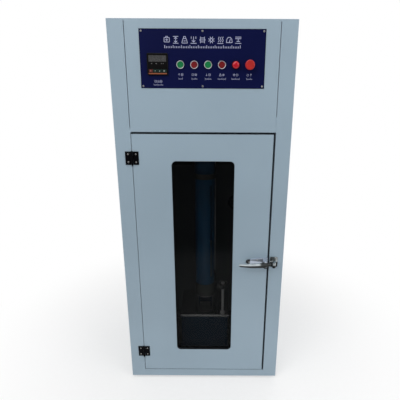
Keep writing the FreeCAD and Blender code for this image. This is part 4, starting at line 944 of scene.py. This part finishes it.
class Mark(Enum):
    """Plain marks that stand where the plate is printed.

    Each value gives the mark's open strokes, as the x and y of their corners in tenths of half its size.
    """

    CELL = "-8,-6 8,-6 8,6 -8,6 -8,-6 | -3,6 -3,9.5 3,9.5 3,6 | -4,0 4,0 | 0,-3.5 0,3.5"
    HEIGHT = "-8,9.5 8,9.5 | 0,7.5 0,-7.5 | -8,-9.5 8,-9.5 | -4.5,3 0,7.5 4.5,3 | -4.5,-3 0,-7.5 4.5,-3"
    WEIGHT = "-8.5,-9 8.5,-9 5,3.5 -5,3.5 -8.5,-9 | -3.5,-3 3.5,-3 | -3,3.5 -3,9.5 3,9.5 3,3.5"
    FALL = "0,9.5 0,-6 | -5,-1 0,-6.5 5,-1 | -9,-9.5 9,-9.5 | -7,9.5 -7,3 | 7,9.5 7,3"
    BAR = "-9.5,0 9.5,0 | -6,9 -6,-9 | 6,9 6,-9 | -6,5.5 6,5.5 | -6,-5.5 6,-5.5"
    BURST = "rays"
    HEAT = "-9,-9.5 9,-9.5 | -6,-6 -3.5,-1 -6,4 -3.5,9 | 0,-6 2.5,-1 0,4 2.5,9 | 6,-6 8.5,-1 6,4 8.5,9"
    GAUGE = "-9,-7 -7.5,2 -3.5,7.5 3.5,7.5 7.5,2 9,-7 | 0,-6 3.5,3.5 | -9,-7 9,-7"
    PRESS = "-9,8.5 9,8.5 | -9,4 9,4 | 0,4 0,-3 | -5,-3.5 5,-3.5 | -9,-9 9,-9"
    RISE = "0,-9 0,8 | -6,2 0,9 6,2"
    HALT = "-7,-7 7,-7 7,7 -7,7 -7,-7"
    SINK = "0,9 0,-8 | -6,-2 0,-9 6,-2"
    POWER = "0,1 0,9.5 | -4.5,6.5 -8,2 -8,-3 -4,-8 4,-8 8,-3 8,2 4.5,6.5"
    COUNT = "-7,-8 -7,8 7,8 7,-8 -7,-8 | -7,0 7,0"

    def strokes(self) -> list[list[Pair]]:
        """Give the mark's open strokes in a square of 2 by 2."""
        if self is Mark.BURST:
            turns = [math.radians(step * 45 + 22.5) for step in range(8)]
            return [[polar(0.5, turn), polar(1.0, turn)] for turn in turns]
        runs = [run.split() for run in self.value.split("|")]
        return [[tuple(float(part) / 10 for part in spot.split(",")) for spot in run] for run in runs]


class Stencil:
    """Draws marks and rules as thin layers of ink."""

    def __init__(self, piece: Piece, place: Matrix, high: float) -> None:
        """Hold the piece that takes the ink, the origin of the print and the ink's thickness."""
        self.piece = piece.at(place)
        self.high = high

    def line(self, start: Pair, end: Pair, width: float) -> None:
        """Ink one straight stroke."""
        self.piece.prism(bar(start, end, width), 0.0, self.high)

    def ring(self, centre: Pair, radius: float, width: float, steps: int = 28) -> None:
        """Ink one ring."""
        hole = circle(radius - width / 2, steps, centre)
        self.piece.prism(circle(radius + width / 2, steps, centre), 0.0, self.high, (hole,))

    def mark(self, mark: Mark, centre: Pair, size: float, width: float) -> None:
        """Ink one mark.

        Args:
            mark: Which one.
            centre: Its centre.
            size: Its height and width.
            width: Stroke width.
        """
        for stroke in mark.strokes():
            spots = [(centre[0] + x * size / 2, centre[1] + y * size / 2) for x, y in stroke]
            for start, end in zip(spots, spots[1:]):
                self.line(start, end, width)
        if mark is Mark.BURST:
            self.ring(centre, size * 0.2, width)

    def dashes(self, centre: Pair, count: int, pitch: float, height: float, width: float) -> None:
        """Ink a row of short upright dashes, the first of every five taller.

        Args:
            centre: Middle of the row.
            count: Number of dashes.
            pitch: Distance from one to the next.
            height: Height of the taller ones.
            width: Stroke width.
        """
        foot = centre[1] - height / 2
        for index in range(count):
            x = centre[0] + (index - (count - 1) / 2) * pitch
            tall = height if index % 5 == 0 else height * 0.62
            self.line((x, foot), (x, foot + tall), width)


@dataclass
class PlatePrint:
    """The control plate's print: nine plain marks, a graduated rule and two marks under each control."""

    title_level: float = 1425.5
    title_size: float = 22.5
    title_pitch: float = 30.4
    title_stroke: float = 1.9
    rule_level: float = 1404.0
    rule_length: float = 258.0
    label_level: float = 1313.0
    label_size: float = 8.6
    label_stroke: float = 0.85
    note_level: float = 1300.0
    note_pitch: float = 2.6
    note_height: float = 6.0

    def note(self, ink: Stencil, x: float, level: float, count: int) -> None:
        """Ink the small row of dashes under a label."""
        ink.dashes((x, level), count, self.note_pitch, self.note_height, self.label_stroke)

    def build(self, shop: Workshop) -> None:
        """Ink the whole plate as one thin piece and lay a black border round the plate, a dark piece that
        paints the plate's shadow line.
        """
        piece = Piece()
        ink = Stencil(piece, placed(Facing.FRONT, 0.0, PLATE_FACE, 0.0), 0.12)
        title = (
            Mark.CELL, Mark.HEIGHT, Mark.WEIGHT, Mark.FALL, Mark.BAR, Mark.BURST, Mark.HEAT, Mark.GAUGE,
            Mark.PRESS,
        )
        for index, mark in enumerate(title):
            centre = ((index - 4) * self.title_pitch, self.title_level)
            ink.mark(mark, centre, self.title_size, self.title_stroke)
        ink.dashes((0.0, self.rule_level), 46, self.rule_length / 45, 9.5, 2.0)
        labels = (
            (Mark.RISE, Mark.COUNT, 6), (Mark.HALT, Mark.BAR, 8), (Mark.SINK, Mark.COUNT, 9),
            (Mark.WEIGHT, Mark.BURST, 11), (Mark.BURST, Mark.HALT, 11), (Mark.POWER, Mark.RISE, 8),
        )
        for index, (left, right, count) in enumerate(labels):
            x = FIRST_SWITCH + SWITCH_PITCH * index
            for side, mark in ((-5.3, left), (5.3, right)):
                ink.mark(mark, (x + side, self.label_level), self.label_size, self.label_stroke)
            self.note(ink, x, self.note_level, count)
        for index, mark in enumerate((Mark.COUNT, Mark.GAUGE, Mark.COUNT)):
            centre = (COUNTER_X + (index - 1) * 9.6, 1290.5)
            ink.mark(mark, centre, self.label_size, self.label_stroke)
        self.note(ink, COUNTER_X, 1279.5, 13)
        piece.make("plate_print", "cabinet", "print_ink", shop)
        # Black border round the plate: painted shadow along the plate's edges.
        shadow_border = Piece(placed(Facing.FRONT, z=1364.0))
        shadow_border.prism(rectangle(432.6, 193.6), SHEET_FACE, SHEET_FACE + 1.0, (rectangle(428.0, 189.0),))
        shadow_border.make("plate_shadow_border", "cabinet", "black_lacquer", shop)


@dataclass
class Counter:
    """The preset counter: its frame, its grey display, its four keys and the strip under them."""

    face: float = -308.5
    glass: float = -307.5
    keys: float = -309.5
    digit_level: float = 1365.5
    digit_pitch: float = 13.0
    digit_half: Pair = (2.9, 5.0)
    key_level: float = 1325.0
    key_pitch: float = 15.6
    ink: float = 0.1

    def segments(self, ink: Stencil, x: float, z: float, lit: str) -> None:
        """Ink one digit of seven segments.

        Args:
            ink: The stencil.
            x: Centre of the digit across.
            z: Centre of the digit upwards.
            lit: Letters of the segments that show, a to g.
        """
        w, h = self.digit_half
        ends = {
            "a": ((-w, h), (w, h)), "b": ((w, h), (w, 0)), "c": ((w, 0), (w, -h)), "d": ((-w, -h), (w, -h)),
            "e": ((-w, 0), (-w, -h)), "f": ((-w, h), (-w, 0)), "g": ((-w, 0), (w, 0)),
        }
        for letter in lit:
            start, end = [(x + px * 0.86, z + pz * 0.86) for px, pz in ends[letter]]
            ink.line(start, end, 1.0)

    def build(self, shop: Workshop) -> None:
        """Make the frame, the print, the digits and the keys' marks."""
        shop.dress("counter_case", "switch_moulding", 0.7, 3)
        shop.dress("counter_display", "display_window", 0.2)
        digits, marks, strip = Piece(), Piece(), Piece()
        ink = Stencil(digits, placed(Facing.FRONT, COUNTER_X, self.glass), self.ink)
        for index, lit in enumerate(("abcdef", "abged", "abcdef", "abcdef")):
            self.segments(ink, (index - 1.5) * self.digit_pitch, self.digit_level, lit)
        digits.make("display_digits", "cabinet", "print_dark", shop)
        front = placed(Facing.FRONT, COUNTER_X, self.face)
        ink = Stencil(marks, front, self.ink)
        for x, width in ((-20.0, 4.0), (-4.0, 5.0), (14.0, 3.0), (20.0, 3.0)):
            ink.line((x - width / 2, 1349.0), (x + width / 2, 1349.0), 2.2)
        marks.make("counter_marks", "cabinet", "print_grey", shop)
        strip.at(front).prism(rectangle(63.0, 3.6, (0.0, 1316.3)), 0.0, 0.3)
        strip.make("counter_strip", "cabinet", "print_orange", shop, edge=0.1)
        for index, mark in enumerate((Mark.HALT, Mark.RISE, Mark.SINK, Mark.PRESS)):
            key = f"counter_key_{index + 1}"
            shop.dress(key, "key_green_moulding" if index else "key_red_moulding", 0.4)
            piece = Piece()
            x = COUNTER_X + (index - 1.5) * self.key_pitch - 0.8
            ink = Stencil(piece, placed(Facing.FRONT, x, self.keys, self.key_level), 0.08)
            ink.mark(mark, (0.0, 0.0), 4.6, 0.9)
            piece.make(key + "_mark", key, "print_pale" if index else "print_coral", shop)


@dataclass
class Latch:
    """The chromed castings of the lever latch and its keeper."""

    edge: float = 1.0
    lever_edge: float = 2.4

    def dress(self, shop: Workshop) -> None:
        """Give the latch's castings their plating and softened edges."""
        shop.dress("latch_base", "base_chrome", self.edge, 3)
        shop.dress("latch_lever", "lever_chrome", self.lever_edge, 4)
        shop.dress("latch_keeper", "keeper_chrome", self.edge, 3)


@dataclass
class Screws:
    """Round-headed screws, each with a dark cross of painted shade for its cross recess, and the places of
    those on the front.
    """

    plate_radius: float = 3.2
    hinge_radius: float = 3.0
    hinge_face: float = -302.5
    keeper_face: float = -303.0
    latch_face: float = -307.0

    @staticmethod
    def head(heads: Piece, crosses: Piece, place: Matrix, radius: float) -> None:
        """Draw one domed head and the dark cross on it, painted shade of its recess.

        Args:
            heads: Takes the head.
            crosses: Takes the cross.
            place: Centre of the head's seat.
            radius: Its radius.
        """
        curve = ((0, 1.35), (0.35, 1.32), (0.65, 1.15), (0.88, 0.75), (1, 0.25), (1, 0.0), (0, 0.0))
        heads.at(place).revolve([(radius * share, height) for share, height in curve], 24)
        # The dark cross sits just above the dome, painted shade of the recess.
        reach = radius * 0.52
        for x, y in ((reach, 0.0), (0.0, reach)):
            crosses.at(place).prism(bar((-x, -y), (x, y), radius * 0.2), 1.0, 1.38)

    def fit(
        self, name: str, body: str, facing: Facing, places: Sequence[tuple[float, float, float, float]],
        turn: float, shop: Workshop, replaces: Sequence[str] = (),
    ) -> None:
        """Make the screws of one body, as one piece with the heads and one with the crosses.

        Args:
            name: Start of both pieces' names.
            body: Body that they ride on.
            facing: Side of the cabinet that the heads look out of.
            places: Centre of each head's seat, and its radius.
            turn: Turn of each cross against the one before it, in degrees.
            shop: The workshop with the materials.
            replaces: Nodes of the frame that the heads stand for.
        """
        heads, crosses = Piece(), Piece()
        for index, (x, y, z, radius) in enumerate(places):
            self.head(heads, crosses, placed(facing, x, y, z, index * turn), radius)
        heads.make(name + "_screw_heads", body, "screw_zinc", shop, replaces=replaces)
        crosses.make(name + "_screw_crosses", body, "screw_recess_shade", shop)

    def build(self, shop: Workshop) -> None:
        """Make the cabinet's screws on the front and the door's."""
        plate, hinge = self.plate_radius, self.hinge_radius
        levels = [level + step for level in HINGE_LEVELS for step in (-15.0, 15.0)]
        places = [(x, PLATE_FACE, z, plate) for x in (-209.0, 0.0, 209.0) for z in (1274.5, 1453.5)]
        places += [(-279.6, self.hinge_face, z, hinge) for z in levels]
        places += [(293.7, self.keeper_face, LATCH_LEVEL + step, hinge) for step in (-16.2, 16.2)]
        self.fit("front", "cabinet", Facing.FRONT, places, 37.0, shop, ("cabinet_screws",))
        places = [(-250.6, self.hinge_face, z, hinge) for z in levels]
        for x, step in ((186.0, 0.0), (217.5, -9.2), (217.5, 9.2)):
            places.append((x, self.latch_face, LATCH_LEVEL + step, hinge))
        self.fit("door", "door", Facing.FRONT, places, 41.0, shop, ("door_screws",))


@dataclass
class PortMembrane:
    """The split rubber membrane in the port for test leads, and the ring that clamps it."""

    x: float = 150.0
    y: float = 294.0
    z: float = 700.0
    radius: float = 24.9
    ring: float = 3.0
    thick: float = 1.5
    leaves: int = 8
    slit: float = 0.5
    steps: int = 6

    def build(self, shop: Workshop) -> None:
        """Make the membrane's leaves, which meet at the centre, and their ring."""
        piece = Piece(placed(Facing.FRONT, self.x, self.y, self.z))
        span = 2 * math.pi / self.leaves
        for leaf in range(self.leaves):
            start = span * leaf
            tip = polar(self.slit, start + span / 2)
            turns = [start + span * step / self.steps for step in range(self.steps + 1)]
            piece.prism([tip, *(polar(self.radius - 1.2, turn, tip) for turn in turns)], 0.0, self.thick)
        inside = self.radius - self.ring
        ring = [(inside, -1.0), (self.radius, -1.0), (self.radius, 2.5), (inside, 2.5)]
        piece.revolve(ring, 48, closed=True)
        piece.make("port_membrane", "cabinet", "seal_rubber", shop)


@dataclass
class GapShadeLining:
    """Black edging round the door leaf, lips beside its gap and a sleeve in the window's opening: dark
    pieces that paint the shade in the door's gap and on the window's sill.
    """

    left: float = -264.1
    right: float = 261.9
    low: float = 48.1
    high: float = 1107.9
    thick: float = 0.5
    front: float = -299.4
    depth: float = 14.0
    lip: float = 1.6
    lip_height: float = 0.3
    window: tuple[float, float, float, float] = (-118.5, 118.5, 155.5, 1005.0)
    window_radius: float = 17.0
    sleeve: Pair = (277.9, 290.9)

    def rounded(self, grown: float) -> list[Pair]:
        """Give the window's outline, grown outwards by some millimetres."""
        radius = self.window_radius
        left, right, low, high = self.window
        left, right, low, high = left + radius, right - radius, low + radius, high - radius
        return [
            polar(radius + grown, math.radians(90 * quarter + 11.25 * step), centre)
            for quarter, centre in enumerate(((right, high), (left, high), (left, low), (right, low)))
            for step in range(9)
        ]

    def build(self, shop: Workshop) -> None:
        """Make the edging on the leaf, the lips on both sides of the gap and the sleeve, the black pieces
        of painted shade.
        """
        width, height = self.right - self.left, self.high - self.low
        centre = ((self.left + self.right) / 2, (self.low + self.high) / 2)
        grown = rectangle(width + 2 * self.thick, height + 2 * self.thick, centre)
        # Black edging on the leaf's edges: painted shade inside the door's gap.
        leaf = Piece(placed(Facing.FRONT, y=self.front + self.depth))
        leaf.prism(grown, 0.0, self.depth, (rectangle(width, height, centre),))
        leaf.make("door_gap_shade_edging", "door", "seal_rubber", shop)
        # Black lips beside the gap: painted shadow that widens the gap's dark line.
        lip, half = self.lip, self.lip / 2
        above, beside = (-1.0, self.high - half), (self.right - half, 577.2)
        lips = (
            ("door_gap_shadow_lip", "door", (width, lip, above), (lip, height - lip, beside)),
            (
                "opening_gap_shadow_lip", "cabinet",
                (530.0, lip, (2.6, 1112.0 + half)), (lip, 1066.0, (266.0 + half, 579.0)),
            ),
        )
        for name, body, *strips in lips:
            piece = Piece()
            for strip in strips:
                piece.prism(rectangle(*strip), SHEET_FACE, SHEET_FACE + self.lip_height)
            piece.make(name, body, "black_lacquer", shop)
        # Black sleeve in the window's opening: painted shade over its sill.
        sleeve = Piece()
        sleeve.prism(self.rounded(0.2), *self.sleeve, (self.rounded(-0.4),))
        sleeve.make("window_shade_sleeve", "door", "black_lacquer", shop)


@dataclass
class SeamFiller:
    """Painted filler in the seams along the fascia's top and bottom and in the foot of its right seam."""

    low: float = 1126.4
    high: float = 1485.6
    side: float = 266.5

    def build(self, shop: Workshop) -> None:
        """Fill the three seams."""
        piece = Piece()
        for level in (self.low, self.high):
            strip = rectangle(2 * self.side - 1.0, 3.2, (1.2, level))
            piece.prism(strip, SHEET_FACE - 3.0, SHEET_FACE + 0.04)
        foot = rectangle(2.0, 42.0, (self.side, self.low + 22.0))
        piece.prism(foot, SHEET_FACE - 10.0, SHEET_FACE - 0.7)
        piece.make("seam_filler", "cabinet", "cabinet_enamel", shop)


@dataclass
class RearFittings:
    """What is too fine for the frame at the back: screws, the fan's wire guard and a bare plate."""

    cover_face: float = 301.5
    screw_radius: float = 3.4
    duct: Pair = (-142.0, 970.0)
    guard_depth: float = 184.0
    plate: Pair = (-230.0, 196.0)
    plate_thick: float = 0.6

    def screws(self, shop: Workshop) -> None:
        """Set the screws of the service cover and of the rear panel."""
        cover = [(x, z) for x in (-190.0, 190.0) for z in (1168.0, 1308.0, 1448.0)]
        cover += [(0.0, z) for z in (1168.0, 1448.0)]
        panel = [(x, z) for x in (-311.0, 311.0) for z in (44.0, 393.0, 742.0, 1091.0, 1440.0)]
        panel += [(x, z) for x in (-155.0, 0.0, 155.0) for z in (30.0, 1476.0)]
        faces = ((self.cover_face, cover), (SHEET_FACE, panel))
        places = [(x, face, z, self.screw_radius) for face, spots in faces for x, z in spots]
        Screws().fit("rear", "cabinet", Facing.REAR, places, 29.0, shop)

    def guard(self, shop: Workshop) -> None:
        """Bend the wire guard across the duct, behind the fan."""
        piece = Piece(placed(Facing.REAR, self.duct[0], self.guard_depth, self.duct[1]))
        for radius in (12.0, 22.0, 32.0, 42.0):
            piece.sweep([(*spot, 0.0) for spot in circle(radius, 40)], 0.8, closed=True)
        for turn in (45, 135, 225, 315):
            piece.sweep([(*polar(radius, math.radians(turn)), 1.4) for radius in (6.0, 26.0, 48.0)], 1.0)
        piece.revolve([(0, 0.6), (7, 0.6), (7, 1.8), (0, 1.8)], 24)
        piece.make("fan_guard", "cabinet", "screw_zinc", shop)

    def bare_plate(self, shop: Workshop) -> None:
        """Rivet the bare plate on."""
        x, z = self.plate
        plate, rivets = Piece(placed(Facing.REAR, x, SHEET_FACE, z)), Piece()
        plate.prism(rectangle(86.0, 54.0), 0.0, self.plate_thick)
        plate.make("bare_plate", "cabinet", "drawn_aluminium", shop, edge=0.2)
        for across, up in ((-38.0, -22.0), (-38.0, 22.0), (38.0, -22.0), (38.0, 22.0)):
            rivets.at(placed(Facing.REAR, x + across, SHEET_FACE + self.plate_thick, z + up))
            rivets.revolve([(0, 0.9), (1.2, 0.8), (2.0, 0.4), (2.2, 0.0), (0, 0.0)], 16)
        rivets.make("plate_rivets", "cabinet", "screw_zinc", shop)

    def build(self, shop: Workshop) -> None:
        """Make the screws, the guard and the plate."""
        self.screws(shop)
        self.guard(shop)
        self.bare_plate(shop)


@dataclass
class Studio:
    """The pale floor, the white surround, the soft lamps and the camera."""

    ambient: float = 0.5
    dim: float = 0.07
    floor_radius: float = 1.6
    lens: float = 33.89
    pitch: float = 17.99
    yaw: float = 0.02
    roll: float = 0.30
    shift: float = -0.0368
    eye: Colour = (0.0440, -1.6871, 1.3036)

    @staticmethod
    def rays(graph: Graph, *kinds: str) -> Socket:
        """Give 1 for the rays of some kinds and 0 for the others."""
        path = graph.add("LightPath").outputs
        shown = path[f"Is {kinds[0]} Ray"]
        for kind in kinds[1:]:
            shown = graph.calc("MAXIMUM", shown, path[f"Is {kind} Ray"])
        return shown

    def surround(self) -> None:
        """Light the scene from all around, white but for a dim room in front that only mirrors show."""
        world = bpy.data.worlds.new("surround")
        bpy.context.scene.world = world
        world.use_nodes = True
        graph = Graph(world.node_tree)
        towards = {0: graph.add("TexCoord").outputs["Generated"], 1: (0.0, -0.985, 0.17)}
        facing = graph.add("VectorMath", towards, operation="DOT_PRODUCT").outputs["Value"]
        mirrored = graph.spread(facing, 0.25, 0.7, 1.0, self.dim)
        shown = self.rays(graph, "Camera", "Transmission")
        plain = graph.calc("MULTIPLY_ADD", shown, 1.0 - self.ambient, self.ambient)
        strength = graph.add("Mix", {0: self.rays(graph, "Glossy"), 2: plain, 3: mirrored}).outputs[0]
        background = world.node_tree.nodes["Background"]
        graph.feed(background, "Strength", strength)
        background.inputs["Color"].default_value = WHITE

    def floor(self) -> None:
        """Lay a round pale floor that keeps the shadow near the cabinet and is white towards its rim."""
        mesh = bpy.data.meshes.new("floor")
        rim = [(x, y, 0.0) for x, y in circle(self.floor_radius, 96)]
        mesh.from_pydata(rim, [], [tuple(range(len(rim)))])
        floor = bpy.data.objects.new("floor", mesh)
        bpy.context.scene.collection.objects.link(floor)
        paint = bpy.data.materials.new("pale_floor")
        paint.use_nodes = True
        graph = Graph(paint.node_tree)
        shader = paint.node_tree.nodes["Principled BSDF"]
        spot = graph.place()
        tone = graph.noise(spot, 60.0, 4.0)
        graph.feed(shader, "Base Color", graph.blend(tone, (0.78, 0.78, 0.78), (0.84, 0.84, 0.84)))
        shader.inputs["Roughness"].default_value = 0.9
        shader.inputs["Specular IOR Level"].default_value = 0.1
        away = graph.add("VectorMath", {0: spot}, operation="LENGTH").outputs["Value"]
        shown = self.rays(graph, "Camera", "Glossy", "Transmission")
        far = graph.calc("MULTIPLY", graph.spread(away, 0.5, 1.25, 0.5, 1.0), shown)
        glow = graph.add("Emission", {"Color": WHITE, "Strength": 1.0})
        mixed = graph.add("MixShader", {0: far, 1: shader.outputs[0], 2: glow.outputs[0]})
        graph.feed(paint.node_tree.nodes["Material Output"], "Surface", mixed.outputs[0])
        mesh.materials.append(paint)

    def lamps(self) -> None:
        """Hang the soft square lamps: the key, the fill, the top lamp and one behind."""
        for name, place, aim, size, power in (
            ("key", (-1.6, -2.5, 3.1), 1.0, 2.2, 55.0),
            ("fill", (2.5, -2.2, 2.2), 1.0, 2.2, 33.0),
            ("top", (0.0, -0.4, 3.6), 0.8, 2.0, 34.0),
            ("rear", (1.2, 3.0, 2.4), 0.8, 2.4, 30.0),
        ):
            data = bpy.data.lights.new(name, "AREA")
            data.size = size
            data.energy = power
            lamp = bpy.data.objects.new(name, data)
            lamp.location = place
            ahead = Vector((0.0, 0.0, aim)) - Vector(place)
            lamp.rotation_euler = ahead.to_track_quat("-Z", "Y").to_euler()
            bpy.context.scene.collection.objects.link(lamp)

    def camera(self) -> None:
        """Set the camera where the photograph was taken from."""
        yaw, pitch, roll = (math.radians(angle) for angle in (self.yaw, self.pitch, self.roll))
        across = Vector((math.cos(yaw), -math.sin(yaw), 0.0))
        level = Vector((math.sin(yaw), math.cos(yaw), 0.0))
        high = Vector((0.0, 0.0, 1.0))
        ahead = level * math.cos(pitch) - high * math.sin(pitch)
        above = level * math.sin(pitch) + high * math.cos(pitch)
        right = across * math.cos(roll) + above * math.sin(roll)
        up = above * math.cos(roll) - across * math.sin(roll)
        data = bpy.data.cameras.new("photo_camera")
        data.lens = self.lens
        data.shift_x = self.shift
        data.sensor_width = 36.0
        data.clip_start = 0.05
        camera = bpy.data.objects.new("photo_camera", data)
        turned = Matrix((right, up, -ahead)).transposed().to_4x4()
        camera.matrix_world = Matrix.Translation(self.eye) @ turned
        bpy.context.scene.collection.objects.link(camera)
        bpy.context.scene.camera = camera

    def build(self) -> None:
        """Set up the whole studio."""
        self.surround()
        self.floor()
        self.lamps()
        self.camera()
        bpy.context.scene.view_settings.view_transform = "Standard"


def main() -> None:
    """Build the studio and every sub-assembly in order."""
    logging.basicConfig(level=logging.INFO, format="%(message)s")
    shop = Workshop()
    Studio().build()
    Shell().dress(shop)
    Machinery().dress(shop)
    PushButtons().build(shop)
    PlatePrint().build(shop)
    Counter().build(shop)
    Latch().dress(shop)
    Screws().build(shop)
    GapShadeLining().build(shop)
    PortMembrane().build(shop)
    SeamFiller().build(shop)
    RearFittings().build(shop)


if __name__ == "__main__":
    main()
